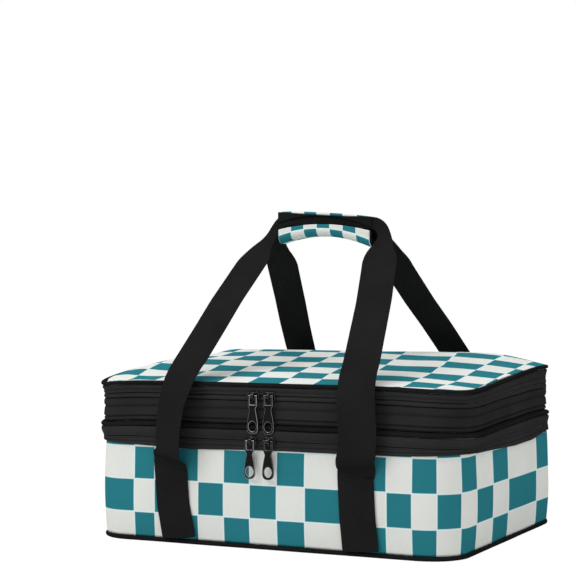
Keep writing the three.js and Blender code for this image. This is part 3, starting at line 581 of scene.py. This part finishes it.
nylon = speckled("black_nylon_coil", (0.006, 0.006, 0.0065), (0.020, 0.020, 0.021), scale=500.0, detail=2.0,
                 smooth=0.28, dull=0.46, shine=0.2)
TOOTH, TURN_HEIGHT, COIL_DEPTH = 1.7, 0.3, 1.5


def coil_turns(s, outset, height):
    """Turns of the spiral: the outer side of the section swells and sinks once in every tooth."""
    turns = TURN_HEIGHT * np.cos(2 * math.pi * s / TOOTH)
    return settle(s, outset + turns * (outset > outset.mean(1, keepdims=True)), height)


coil_plan = {
    "mid_zip_lower_coil": (0.1, 107.4, 109.37, "lower_case", "lower_zip_coil"),
    "mid_zip_upper_coil": (0.1, 109.43, 111.4, "deck", "deck_zip_coil"),
    "top_zip_lower_coil": (-1.3, 152.5, 154.47, "upper_frame", "top_zip_coil"),
    "top_zip_upper_coil": (-1.3, 154.53, 156.5, "lid", "lid_zip_coil"),
}
for coil_name, (outset, low, high, body, node) in coil_plan.items():
    inset = outset - COIL_DEPTH
    section = smooth_profile([[inset, low], [outset, low], [outset, high], [inset, high]], 1)
    coil = band(coil_name, section, run=(-ZIP_END, ZIP_END), step=TOOTH / 3, shape=coil_turns)
    dress(coil, nylon, body, "zip_coil", node)

# Deck: the floor between the compartments. Foil film lies on both faces of foam and a stiffener board, and
# its edge carries the upper half of the middle zip, a smooth black band that swells outwards.
deck_tape_line = [[0.55, 111.6], [0.6, 109.9], [1.0, 109.6], [1.5, 110.1], [1.7, 111.2], [1.5, 111.8],
                  [1.9, 112.3], [2.8, 115.0], [3.3, 117.4], [3.1, 118.7], [2.3, 119.7], [1.2, 120.1],
                  [0.6, 119.9], [0.7, 115.0]]
dress(band("deck_zip_tape_cloth", smooth_profile(deck_tape_line), 0.2, 0.15, 13, shape=settle),
      zip_tape, "deck", "black_cloth", "deck_zip_tape")
dress(seam_round("deck_tape_stitches", 1.6, 111.75, settle), thread, "deck", "black_cloth")
DECK_EDGE = -1.0


def film_lay(low, rise):
    """Height of a film laid flat: a slow unevenness of a tenth of a millimetre or so."""
    return lambda x, y: low + rise * np.sin(x / 17 + y / 29) * np.sin(y / 21 - x / 43)


dress(panel("deck_under_film", DECK_EDGE, film_lay(111.65, 0.1), film_lay(112.3, 0.0), rings=16),
      silver_film, "deck", "foil_liner", "deck_under_liner")
dress(panel("deck_top_film", DECK_EDGE, film_lay(118.5, 0.0), film_lay(119.15, 0.1), rings=16),
      silver_film, "deck", "foil_liner", "deck_top_liner")

# Deck piping: a firm black ridge of cord in bias tape above the zip band, caught in the seam where the
# gusset is sewn to the deck.
ridge_line = [[-6.8, 120.4], [1.6, 120.3], [3.0, 120.9], [3.7, 122.4], [3.1, 124.0], [1.2, 125.1],
              [-2.5, 125.4], [-6.9, 125.4]]
dress(band("deck_piping_cord", smooth_profile(ridge_line), 0.15, 0.2, 23, shape=settle),
      bias_tape, "deck", "black_cloth", "deck_piping")

# Gusset: a strip of the checked canvas, two rows high, that lets the upper compartment rise. Folded down it
# is only a crease between the deck and the band above, and its sewn edges stand hidden behind both.
FOLD_LOW, FOLD_HIGH, FOLD_IN = 125.0, 126.3, -7.2


def ease(t):
    """A share from 0 to 1 that starts and ends slowly: three times its square less twice its cube."""
    return t * t * (3 - 2 * t)


fold_t = np.linspace(0, 1, 25)
fold_share = ease(fold_t)
fold_in = np.pad(FOLD_IN - 2.4 * np.sin(fold_share * math.pi) ** 0.8, 2, constant_values=FOLD_IN)
fold_z = np.concatenate([[119.5, 122.5], FOLD_LOW + (FOLD_HIGH - FOLD_LOW) * fold_t, [129.5, 133.0]])
fold_rows = np.concatenate([[-0.25, -0.1], fold_share * 2, [2.1, 2.25]])
gusset_outer = lay(fold_in, fold_z)
gusset_inner = gusset_outer[::-1] - np.array([0.45, 0.0])
gusset_rows = np.concatenate([fold_rows, fold_rows[::-1], fold_rows[:1]])
gusset = band("gusset_cloth", np.concatenate([gusset_outer, gusset_inner]),
              prints=lambda s, z: (np.interp(s, COLUMN_LINES, COLUMN_COUNT), gusset_rows[None, :]))
dress(gusset, wall_print, None, "checked_cloth", "gusset_wall")
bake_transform(gusset)

# Upper band: black quilted cloth in three flat ribs over foam, the wall of the upper compartment. Narrow sewn
# creases part the ribs, and a foil film lines the inside.
rib_line = [[-6.9, 126.1], [-3.0, 125.7], [-1.4, 125.9], [-0.6, 126.8], [0.0, 128.4], [-0.6, 129.8],
            [-1.9, 130.4], [-0.7, 130.9], [0.6, 132.0], [0.2, 133.4], [0.0, 136.5], [-0.4, 139.6],
            [-1.9, 140.9], [-0.8, 141.6], [0.2, 143.6], [0.3, 146.4], [-0.5, 148.6], [-1.6, 149.4],
            [-3.0, 149.5]]
upper_cover = band("upper_band_cloth", smooth_profile(rib_line), 0.25, 0.2, 23, shape=settle)
dress(upper_cover, black_canvas, "upper_frame", "black_cloth", "upper_band_cover")
for seam_z in (130.4, 141.0):
    seam = seam_round(f"upper_band_stitches_{int(seam_z)}", -1.45, seam_z, settle)
    dress(seam, thread, "upper_frame", "black_cloth")
dress(band("upper_liner_film", upright_film(-8.25, -7.7, 126.8, 149.6, 8), shape=settle),
      silver_film, "upper_frame", "foil_liner", "upper_band_liner")
dress(band("upper_rim_tape", folded_tape(-8.5, -2.2, 150.2, 1.3), 0.1, 0.1, 8, shape=settle),
      bias_tape, "upper_frame", "black_cloth")

# Top zip, lower half: a narrow woven tape above the ribs, sewn into the top seam of the band, its free edge
# folded over the coil.
top_tape_line = [[-1.9, 149.9], [-0.9, 149.8], [0.3, 150.6], [0.5, 152.0], [0.1, 153.2], [-0.4, 153.9],
                 [-0.8, 153.7], [-0.9, 152.0], [-1.9, 151.6]]
dress(band("top_zip_lower_tape", smooth_profile(top_tape_line), 0.12, 0.1, 29, shape=settle),
      zip_tape, "upper_frame", "black_cloth", "top_zip_tape")

# Lid: checked canvas over a crowned foam panel, edged with piping above a black zip band. The rear edge
# stands a little higher than the front, and foil film lines the underside.
LID_EDGE, LID_CROWN, LID_REACH, LID_RISE = 167.6, 22.0, 75.0, 8.0
FULL_LEFT, FULL_RIGHT, FRONT_CROWN = 30.0, 105.0, 0.05
LID_LOW, LID_UNDER = 156.35, 159.6


def from_edge(x, y):
    """Distance inwards from the wall line: straight inside the inner rectangle, round at the corners, with
    the inner ridge lines softened."""
    a, b = STRAIGHT_X - np.abs(x), STRAIGHT_Y - np.abs(y)
    outside = np.hypot(np.minimum(a, 0), np.minimum(b, 0))
    least = np.minimum(a, b)
    soft = np.clip(least, 1e-3, 45)
    near = np.maximum(soft - np.abs(a - b), 0) / soft
    inside = least - near ** 2 * soft / 4
    return CORNER + np.where(least > 0, inside, -outside)


def rear_rise(y, z):
    """Rise of the lid towards the back: nothing at the zip, and all of it from the underside up."""
    return LID_RISE * (y / CASE_DEPTH + 0.5) * np.clip((z - LID_LOW) / (LID_UNDER - LID_LOW), 0, 1)


def crown(depth, ripple):
    """Height of a lid layer at a depth below the top: the crown as a quarter sine from the edge to its
    reach, full at the back and almost nothing at the front, the rise of the rear edge, and the unevenness of
    cloth on foam. The crown is full nearer to the left edge than to the right one."""
    def height(x, y):
        half = CASE_WIDTH / 2
        shifted = np.interp(x, [-half, FULL_LEFT - half, half - FULL_RIGHT, half],
                            [-half, LID_REACH - half, half - LID_REACH, half])
        inward = np.minimum(from_edge(x, y) * LID_REACH / FULL_LEFT, from_edge(shifted, y))
        share = np.clip(inward / LID_REACH, 0, 1)
        back = y / CASE_DEPTH + 0.5
        full = LID_CROWN * (FRONT_CROWN + (1 - FRONT_CROWN) * back)
        z = LID_EDGE - depth + full * np.sin(share * math.pi / 2)
        slow = np.sin(x / 37 + y / 61) * np.sin(y / 29 - x / 83 + 0.7)
        dents = slow + 0.4 * np.sin(x / 17 + 1.1) * np.sin(y / 19)
        return z + LID_RISE * back + ripple * share * dents
    return height


def raised(s, outset, height):
    """Moves a ring of the lid up with the rise of the rear edge, and then to its settled place."""
    _, y = round_case(s, outset)
    return settle(s, outset, height + rear_rise(y, height))


def lid_edge(s):
    """The settling of the lid's edge, for its panels."""
    return settling(s)[0] * (1 + LID_MORE)


# Print lines of the lid: columns at LID_FRONT and how far each leans to the left going back; rows at the
# middle, and at places across the lid how far each row lies forwards, and how that grows going back.
LID_FRONT, LEFT_REACH, FIRST_COLUMN, FIRST_ROW = -130.0, 60.0, -3.0, -1.0
LID_LINES = [-208, -171.5, -133, -98, -60, -25.5, 11, 47, 92, 145, 177, 204, 232]
LID_LEAN = [0.10, 0.12, 0.16, 0.2, 0.2, 0.187, 0.177, 0.19, 0.185, 0.09, 0.065, 0.05, 0.05]
LID_ROWS = [-216, -171, -130, -95, -52, -8, 38, 83, 128, 173, 218, 263]
ROW_PLACES = [-172, -135, -110, 10, 96, 140, 166, 200]
ROW_FORWARD = [-6, 0, 0, 0, 3.5, 0, -9, -22]
ROW_GROWTH = [0.35, 0.1, 0, 0, 0.1, 0.08, 0.06, 0.05]


def lid_place(x, y):
    """Place in the lid's print: the cloth was laid a little askew, so its columns lean and its rows bend
    down at the left and right ends."""
    back = y - LID_FRONT
    straight = x + back * np.interp(x, LID_LINES, LID_LEAN)
    reach = np.where(x < 0, np.minimum(back, LEFT_REACH), back)
    level = y + np.interp(x, ROW_PLACES, ROW_FORWARD) + reach * np.interp(x, ROW_PLACES, ROW_GROWTH)
    return lay(np.interp(straight, LID_LINES, np.arange(len(LID_LINES)) + FIRST_COLUMN),
               np.interp(level, LID_ROWS, np.arange(len(LID_ROWS)) + FIRST_ROW))


lid_print = checked("lid_checked_canvas", 0.011)
lid_cloth = panel("lid_cloth", -1.9, crown(0.9, 0.0), crown(0.0, 0.35), 34, prints=lid_place, edge=lid_edge)
dress(lid_cloth, lid_print, "lid", "checked_cloth", "lid_cover")
dress(panel("lid_liner_film", -2.4, crown(7.4, 0.25), crown(6.7, 0.0), rings=24, edge=lid_edge),
      silver_film, "lid", "foil_liner", "lid_liner")
dress(band("lid_piping_cord", round_cord(1.1, 165.6, 2.0), 0.2, 0.2, 31, shape=raised),
      bias_tape, "lid", "black_cloth", "lid_piping")
lid_band_line = [[-0.9, 156.6], [-0.8, 155.0], [-0.4, 154.8], [0.2, 155.3], [0.6, 156.3], [0.2, 157.4],
                 [-0.1, 157.9], [0.4, 158.4], [1.4, 159.8], [1.9, 161.0], [1.6, 162.2], [0.4, 163.2],
                 [-1.2, 163.4], [-1.9, 160.0], [-1.9, 157.0]]
lid_band = band("lid_band_cloth", smooth_profile(lid_band_line), 0.15, 0.1, 37, shape=raised)
dress(lid_band, zip_tape, "lid", "black_cloth", "lid_band")
dress(seam_round("lid_band_stitches", 0.15, 157.9, raised), thread, "lid", "black_cloth")

# Rear hinges: where the zips stop, a doubled strip of black canvas over the back and round both rear corners
# joins each panel to the one below; on the case it bends when a panel opens, and here it is one fixed piece.
HINGE_RUN = (ZIP_END + 0.5, ROUND - ZIP_END - 0.5)
HINGE_THICK, TUCK_DEPTH, TUCK_RUN = 0.6, 2.2, 10.0


def strip(outset, low, high, points=15):
    """Section of an upright strip, thin at both edges."""
    t = np.linspace(0, 1, points)
    z = low + (high - low) * t
    full = outset + HINGE_THICK * np.sin(t * math.pi) ** 0.35
    return np.concatenate([lay(full, z), lay(outset, z[::-1])])


def tucked(s, outset, height):
    """The strip's two ends dive under the tapes over their last stretch."""
    near = np.minimum(s - HINGE_RUN[0], HINGE_RUN[1] - s)
    return settle_tape(s, outset - TUCK_DEPTH * np.clip(1 - near / TUCK_RUN, 0, 1) ** 2, height)


hinge_plan = {
    "mid_hinge_cloth": (1.25, 101.5, 110.9, "lower_case", "deck", 0.1073, 0.1108, "mid_hinge_binding"),
    "top_hinge_cloth": (-0.35, 142.2, 156.0, "upper_frame", "lid", 0.1530, 0.1556, "top_hinge_binding"),
}
for hinge_name, (outset, low, high, below, above, start, end, node) in hinge_plan.items():
    hinge = band(hinge_name, strip(outset, low, high), 0.1, 0.1, 41, run=HINGE_RUN, shape=tucked)
    dress(hinge, black_canvas, None, "black_cloth", node)
    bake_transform(hinge)

# Foam and boards: white foam sheet and grey stiffener board inside the walls, the base, the deck and the
# lid. They are cut to plain shapes, so the solids stand as they are, except where the foam has settled with
# its cloth.


def plain_sheet(name, color, rough, scale, depth):
    """Foam or board: a speckled tone and a fine pitted surface."""
    finish, tree, shader, place = new_finish(name)
    cells = wire(tree, "TexVoronoi", {"Vector": place["Object"], "Scale": scale}).outputs[0]
    tint(tree, shader, color, between(tree, cells, 0.92, 1.04))
    emboss(tree, shader, cells, 0.4, depth)
    tree.links.new(between(tree, cells, rough - 0.05, rough + 0.05), shader["Roughness"])
    return finish


white_foam = plain_sheet("white_foam_sheet", (0.80, 0.79, 0.75), rough=0.9, scale=900.0, depth=0.0003)
grey_board = plain_sheet("grey_stiffener_board", (0.27, 0.28, 0.28), rough=0.6, scale=500.0, depth=0.0001)
inner_plan = {"base_board": grey_board, "deck_board": grey_board,
              "base_foam": white_foam, "deck_foam": white_foam, "lower_wall_foam": white_foam}
for node_name, finish in inner_plan.items():
    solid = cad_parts[node_name]
    solid.data.materials.clear()
    solid.data.materials.append(finish)

band_pad_line = [[-7.4, 127.0], [-2.7, 127.0], [-2.5, 129.0], [-2.5, 147.0], [-2.9, 149.2], [-7.4, 149.4]]
dress(band("upper_band_foam_pad", smooth_profile(band_pad_line, 1), shape=settle),
      white_foam, "upper_frame", "foam", "upper_band_foam")
dress(panel("lid_foam_pad", -2.3, crown(6.4, 0.0), crown(1.3, 0.0), rings=20, edge=lid_edge),
      white_foam, "lid", "foam", "lid_foam")

# Straps: four lengths of black webbing, sewn flat on the front and back walls up to a tack, then bowing out.
# They pass the lid's edge with a gap, lean in over the lid and run on into the grip, folded in half to the
# width of a hand.
WEB_HALF, WEB_THICK = 19.0, 2.3
SEWN_LINE, STAND_LINE = 172.3, 188.2
STRAP_LOW, TACK_Z, FOOT_MIDDLE, BEND_Z = 5.2, 79.0, 88.5, 98.0
GRIP_Z, GRIP_LINE, GRIP_HALF = 337.2, 6.4, 6.9
GRIP_TILT, LEAN_BEND, GRIP_BEND = 3.0, 26.0, 14.0


def bezier(points, count=24):
    """Points on the Bezier curve of three or four control points."""
    t = np.linspace(0, 1, count)[:, None]
    row = np.asarray(points, float)[:, None, :] + np.zeros((1, count, 1))
    while len(row) > 1:
        row = row[:-1] * (1 - t) + row[1:] * t
    return row[0]


def strap_side(lean_z, slack_depth):
    """Edge-on path of a strap as (distance from the middle plane, height): up the wall, out through the foot
    in an S, up at the stand-off, round a soft bend over the lid's edge, and on a slightly slack lean to the
    grip."""
    grip_foot = GRIP_Z - 2 * GRIP_HALF
    span = np.array([GRIP_LINE - STAND_LINE, grip_foot - lean_z])
    step = span / np.hypot(*span)
    bend_in = np.array([STAND_LINE, lean_z]) + step * LEAN_BEND
    bend_out = np.array([GRIP_LINE, grip_foot]) - step * GRIP_BEND
    slack = (bend_in + bend_out) / 2 - np.array([step[1], -step[0]]) * slack_depth
    parts = [
        [[SEWN_LINE, STRAP_LOW], [SEWN_LINE, TACK_Z]],
        bezier([[SEWN_LINE, TACK_Z], [SEWN_LINE, FOOT_MIDDLE],
                [STAND_LINE, FOOT_MIDDLE], [STAND_LINE, BEND_Z]]),
        bezier([[STAND_LINE, lean_z - LEAN_BEND], [STAND_LINE, lean_z], bend_in]),
        bezier([bend_in, slack, bend_out]),
        bezier([bend_out, [GRIP_LINE, grip_foot], [GRIP_LINE, grip_foot + GRIP_BEND]]),
        [[GRIP_LINE, GRIP_Z + 2 * GRIP_HALF]],
    ]
    return np.concatenate(parts)


def web_section(sides=24):
    """Section of the webbing, from -1 to 1 across and through: flat faces with small round edges."""
    angle = np.linspace(0, 2 * math.pi, sides, endpoint=False) + math.pi / sides
    c, s = np.cos(angle), np.sin(angle)
    return np.sign(c) * np.abs(c) ** 0.35, np.sign(s) * np.abs(s) ** 0.5


def webbing_band(name, side, plan, half, thick, facing, twist):
    """Webbing laid along a flat path. plan holds (x, length along the side path); half and thick are its
    half width and thickness there, and twist the turn of its section. A point of the section at w across and
    h through lies at the side path's point for its own length, moved h along that path's normal."""
    lengths = length_along(side)
    keep = np.append(True, np.diff(lengths) > 1e-6)
    lengths, side = lengths[keep], side[keep]
    slope = unit(np.gradient(side, lengths, axis=0))
    run = unit(np.gradient(plan, axis=0))
    across, through = web_section()
    half, thick, twist = (np.broadcast_to(value, len(plan))[:, None] for value in (half, thick, twist))
    flat_w, flat_h = across * half, through * thick / 2
    w = flat_w * np.cos(twist) - flat_h * np.sin(twist)
    h = flat_h * np.cos(twist) + flat_w * np.sin(twist)
    x = plan[:, 0, None] + run[:, 1, None] * w
    along = plan[:, 1, None] - run[:, 0, None] * w
    forward = np.interp(along, lengths, side[:, 0]) + np.interp(along, lengths, slope[:, 1]) * h
    up = np.interp(along, lengths, side[:, 1]) - np.interp(along, lengths, slope[:, 0]) * h
    grid = lay(x, -facing * forward, up)
    flat_v = np.append(across, across[0]) * WEB_HALF
    return make_piece(name, grid, (False, True), lay(length_along(plan)[:, None], flat_v[None, :]))


def webbing_finish(name, color):
    """Ribbed polyester webbing: fine ribs along the length, each crossed by slanting picks that change hand
    from rib to rib, and a little paler lint."""
    finish = woven(name, color, thread=0.0011, rough=0.66, relief=0.5, fuzz=0.22)
    tree = finish.node_tree
    parts = wire(tree, "SeparateXYZ", {0: wire(tree, "TexCoord").outputs["UV"]}).outputs
    rib = reckon(tree, "PINGPONG", parts[1], 0.0011)
    slant = reckon(tree, "MULTIPLY_ADD", rib, 1.6, parts[0])
    pick = reckon(tree, "SINE", reckon(tree, "MULTIPLY", slant, 2 * math.pi / 0.0013))
    bump = tree.nodes["Principled BSDF"].inputs["Normal"].links[0].from_node
    tree.links.new(reckon(tree, "MULTIPLY_ADD", rib, 1800.0, pick), bump.inputs["Height"])
    return finish


black_webbing = webbing_finish("black_ribbed_webbing", (0.0148, 0.0148, 0.0149))
# Each leg hangs in its own way: heights, and the middle of the leg at them.
LEG_Z = [5, 40, 79, 88.5, 98, 120, 145, 160, 188, 222, 250, 290, 312]
leg_lines = {
    "front_left": [-95.3, -102.3, -105.6, -102.8, -100, -99.7, -95.9, -92.1, -87.8, -85.3, -83.7, -77.7,
                   -73.3],
    "front_right": [107, 103.4, 101.4, 105.2, 109, 110.5, 109.1, 107.9, 103.7, 94.7, 87.3, 74.3, 65.2],
    "back_left": [-102, -102, -102, -102.7, -103.5, -107, -111, -113.6, -118.2, -107, -96.8, -83.4, -75.2],
    "back_right": [102, 102, 102, 100.7, 99.5, 96, 91, 87.9, 81.8, 74, 65.9, 57.1, 55.3],
}
SHOULDER = {"front_left": 61.0, "front_right": 62.0, "back_left": 63.0, "back_right": 51.0}
TWIST_Z = [80, 95, 145, 160, 188, 340]
leg_twists = {"front_left": [0, 24, 18, 10, 0, 0], "front_right": [0, 13, 9, 6, 2, 0],
              "back_left": [0, 12, 10, 6, 0, 0], "back_right": [0, 12, 10, 6, 0, 0]}
FOLD_START, FOLD_RUN, FOLD_THICK = 62.0, 50.0, 2.4
LAP, RISE_SHORT, TURN_SHORT = 0.8, 46.0, 42.0
# Stitches that hold a strap to the wall, as their x, z and direction: a row near each edge, and two bars.
edge_z, bar_x = np.linspace(9, 74.5, 22), np.linspace(-14.5, 14.5, 10)
sewn_rows = {"edge_a": (-16.0, edge_z, (0.0, 0.0, 1.0)), "edge_b": (16.0, edge_z, (0.0, 0.0, 1.0)),
             "bar_a": (bar_x, 71.5, (1.0, 0.0, 0.0)), "bar_b": (bar_x, 75.5, (1.0, 0.0, 0.0))}
side_paths = {"front": strap_side(166.5, 1.0), "back": strap_side(174.5, 0.5)}
for face_name, facing in (("front", 1), ("back", -1)):
    side = side_paths[face_name]
    lengths = length_along(side)
    foot, top = np.interp([FOOT_MIDDLE, GRIP_Z], side[:, 1], lengths)
    halves = []
    for side_name, sign in (("left", -1), ("right", 1)):
        key = f"{face_name}_{side_name}"
        leg = leg_lines[key]
        tail_run = np.linspace(0, foot, 60)
        tail_z = np.interp(tail_run, lengths, side[:, 1])
        tail_plan = lay(np.interp(tail_z, LEG_Z, leg), tail_run)
        tail_twist = -sign * np.radians(np.interp(tail_z, TWIST_Z, leg_twists[key]))
        tail = webbing_band(f"{key}_strap_tail", side, tail_plan, WEB_HALF, WEB_THICK, facing, tail_twist)
        dress(tail, black_webbing, None, "webbing", f"{key}_sewn_strap")
        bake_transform(tail)
        for row_name, (x, z, direction) in sewn_rows.items():
            place = lay(x + np.interp(z, LEG_Z, leg), -facing * (SEWN_LINE + WEB_THICK / 2), z)
            along, out = (np.tile(way, (len(place), 1)) for way in (direction, (0.0, -facing, 0.0)))
            row = stitch_row(f"{key}_strap_{row_name}", place, along, out, 2.3, 0.5)
            dress(row, thread, "lower_case", "webbing")
        rise = np.linspace(foot - LAP, top - RISE_SHORT, 120)
        rise_x = np.interp(np.interp(rise, lengths, side[:, 1]), LEG_Z, leg)
        turn = SHOULDER[key]
        end = top - sign * GRIP_TILT
        shoulder = bezier([[rise_x[-1], top - TURN_SHORT], [sign * (turn + 8), end - 14],
                           [sign * turn, end - 1], [sign * (turn - 9), end]], 40)
        halves.append(np.concatenate([lay(rise_x, rise), shoulder]))
    path = np.concatenate([halves[0], halves[1][::-1]])
    distance = length_along(path)
    even = np.linspace(0, distance[-1], 400)
    plan = lay(*(np.interp(even, distance, line) for line in path.T))
    rounding = np.hanning(13)[1:-1] / np.hanning(13).sum()
    padded = np.pad(plan, ((5, 5), (0, 0)), mode="reflect", reflect_type="odd")
    plan = lay(*(np.convolve(line, rounding, "valid") for line in padded.T))
    fold = ease(np.clip((plan[:, 1] - (top - FOLD_START)) / FOLD_RUN, 0, 1))
    half = WEB_HALF + (GRIP_HALF - WEB_HALF) * fold
    thick = WEB_THICK + FOLD_THICK * fold
    plan_z = np.interp(plan[:, 1], lengths, side[:, 1])
    twist = np.where(plan[:, 0] < 0, *(np.interp(plan_z, TWIST_Z, leg_twists[f"{face_name}_{side_name}"])
                                       for side_name in ("left", "right")))
    loop = webbing_band(f"{face_name}_loop_webbing", side, plan, half, thick, facing, np.radians(twist))
    feet = [f"{face_name}_{side_name}_strap_foot" for side_name in ("left", "right")]
    dress(loop, black_webbing, None, "webbing", f"{face_name}_strap_loop", *feet)
    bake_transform(loop)

# Handle wrap: a padded sleeve of the checked canvas with a black lining, sewn to the back grip. Its mouth
# faces the front so that the front grip drops in, and its lower flap is cut in an arch.
WRAP_HALF, WRAP_SHIFT, WRAP_FRONT, WRAP_TOP, WRAP_TILT = 54.5, -5.0, 13.0, 346.7, 3.9
FLAP_LOW, FLAP_ARCH, FLAP_TILT = 307.6, 10.2, 3.0
LIP_LOW, LIP_ARCH, LIP_TILT = 325.8, 6.5, 1.5
WRAP_PUFF, WRAP_CORNER, LIP_CORNER, LIP_TURN = 0.9, 8.0, 1.3, 0.4
WRAP_COLUMN, WRAP_ROW, ROW_START = 2 * WRAP_HALF / 7, 17.5, 4.6


def wrap_layer(name, depth, thick, short, longer, shrink, fall):
    """The sleeve as a closed shell: outer section, then the same section moved in by its thickness. It lies
    higher at the left end than at the right. longer is its extra length at each end; towards the ends the
    upper lip sinks by shrink and draws back four times that, and its turned-down edge deepens by fall."""
    across_x = np.linspace(-1, 1, 57)[:, None]
    x = across_x * (WRAP_HALF + longer) + WRAP_SHIFT
    arch = 1 - across_x ** 2
    puff = WRAP_PUFF * (1 - across_x ** 8)
    sink = shrink * np.abs(across_x) ** 3
    shells = []
    for inset in (depth, depth + thick):
        front = WRAP_FRONT + puff - inset
        lip_front = front - 4 * sink
        low = FLAP_LOW + FLAP_ARCH * arch + FLAP_TILT * (1 - across_x) + inset
        lip = LIP_LOW + LIP_ARCH * arch + LIP_TILT * (1 - across_x) - short
        high = WRAP_TOP - WRAP_TILT * across_x - inset - sink
        corner = WRAP_CORNER - inset * 0.6
        small = LIP_CORNER - inset * 0.12
        quarter = np.linspace(0, math.pi / 2, 8)[None, :]
        cos, sin = np.cos(quarter), np.sin(quarter)
        rise = np.linspace(0, 1, 8)[None, :]
        forward = [front + 0 * rise, front - corner + corner * cos, -front + corner - corner * sin,
                   -front + 0 * rise, -front + corner - corner * cos, lip_front - small + small * sin,
                   lip_front + 0 * rise]
        height = [lip + (low + corner - lip) * rise, low + corner - corner * sin, low + corner - corner * cos,
                  low + corner + (high - corner - low - corner) * rise, high - corner + corner * sin,
                  high - small + small * cos, high - small - (LIP_TURN * arch + fall * (1 - arch)) * rise]
        shells.append(lay(x, -np.concatenate(forward, 1), np.concatenate(height, 1)))
    grid = np.concatenate([shells[0], shells[1][:, ::-1]], 1)
    across = length_along(grid[len(x) // 2, :, 1:])
    flat = lay(x, np.append(across, across[-1])[None, :])
    prints = (flat - [WRAP_SHIFT - WRAP_HALF, ROW_START]) / [WRAP_COLUMN, WRAP_ROW]
    return make_piece(name, grid, (False, True), flat, prints)


wrap_print = checked("wrap_checked_canvas", 0.025)
wrap = wrap_layer("handle_wrap_cloth", depth=0.0, thick=1.6, short=0.0, longer=0.0, shrink=1.6, fall=0.0)
dress(wrap, wrap_print, "back_loop", "checked_cloth", "handle_wrap")
wrap_lining = wrap_layer("handle_wrap_lining_cloth", depth=1.7, thick=0.7, short=0.6, longer=2.0, shrink=0.3,
                         fall=11.0)
dress(wrap_lining, bias_tape, "back_loop", "black_cloth", "handle_wrap_lining")

# Zip hardware: sliders and pulls of plated zinc, cast smooth and blackened, their edges rounded by tumbling.
# The rounded edges take a bright metal that is a painted highlight, standing in for lamps glinting on the
# rims.
PLATING = {"scale": 260.0, "detail": 3.0, "smooth": 0.10, "dull": 0.22}
# Faces: blackened plating, kept almost without shine so that they read as reflecting dark surroundings, which
# is partly painted shade.
gunmetal = speckled("black_plated_zinc", (0.002, 0.002, 0.0022), (0.006, 0.006, 0.0063), **PLATING,
                    shine=0.1, metallic=0.1)
# Rims: bright metal, a painted highlight for lamps glinting along the rounded edges.
painted_highlight_rim = speckled("painted_highlight_metal_rim", (0.16, 0.16, 0.165), (0.50, 0.50, 0.51), **PLATING,
                      shine=0.5, metallic=1.0)


def tumbled(node_name, piece_name, radius):
    """A cast piece: the solid's own faces joined up, with every sharp edge rounded by radius metres. The
    rounding takes the second material, the painted highlight."""
    work = bmesh.new()
    work.from_mesh(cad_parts[node_name].data)
    bmesh.ops.remove_doubles(work, verts=work.verts, dist=1e-6)
    bmesh.ops.dissolve_limit(work, angle_limit=math.radians(1.0), verts=work.verts, edges=work.edges)
    mesh = bpy.data.meshes.new(piece_name)
    work.to_mesh(mesh)
    work.free()
    obj = set_out(mesh)
    round_off = obj.modifiers.new("round_off", "BEVEL")
    round_off.width = radius
    round_off.segments = 3
    round_off.material = 1
    round_off.limit_method = "ANGLE"
    round_off.angle_limit = math.radians(32)
    even_light = obj.modifiers.new("even_light", "WEIGHTED_NORMAL")
    even_light.keep_sharp = False
    return obj


for zip_name in ("mid", "top"):
    for side_name in ("left", "right"):
        key = f"{zip_name}_{side_name}"
        for part, body, radius in (("slider", "runner", 0.00045), ("pull", "tab", 0.0004)):
            casting = tumbled(f"{key}_{part}", f"{key}_zip_{part}", radius)
            dress(casting, gunmetal, f"{key}_{body}", "gunmetal", f"{key}_{part}")
            # The rounded edges take the painted highlight.
            casting.data.materials.append(painted_highlight_rim)
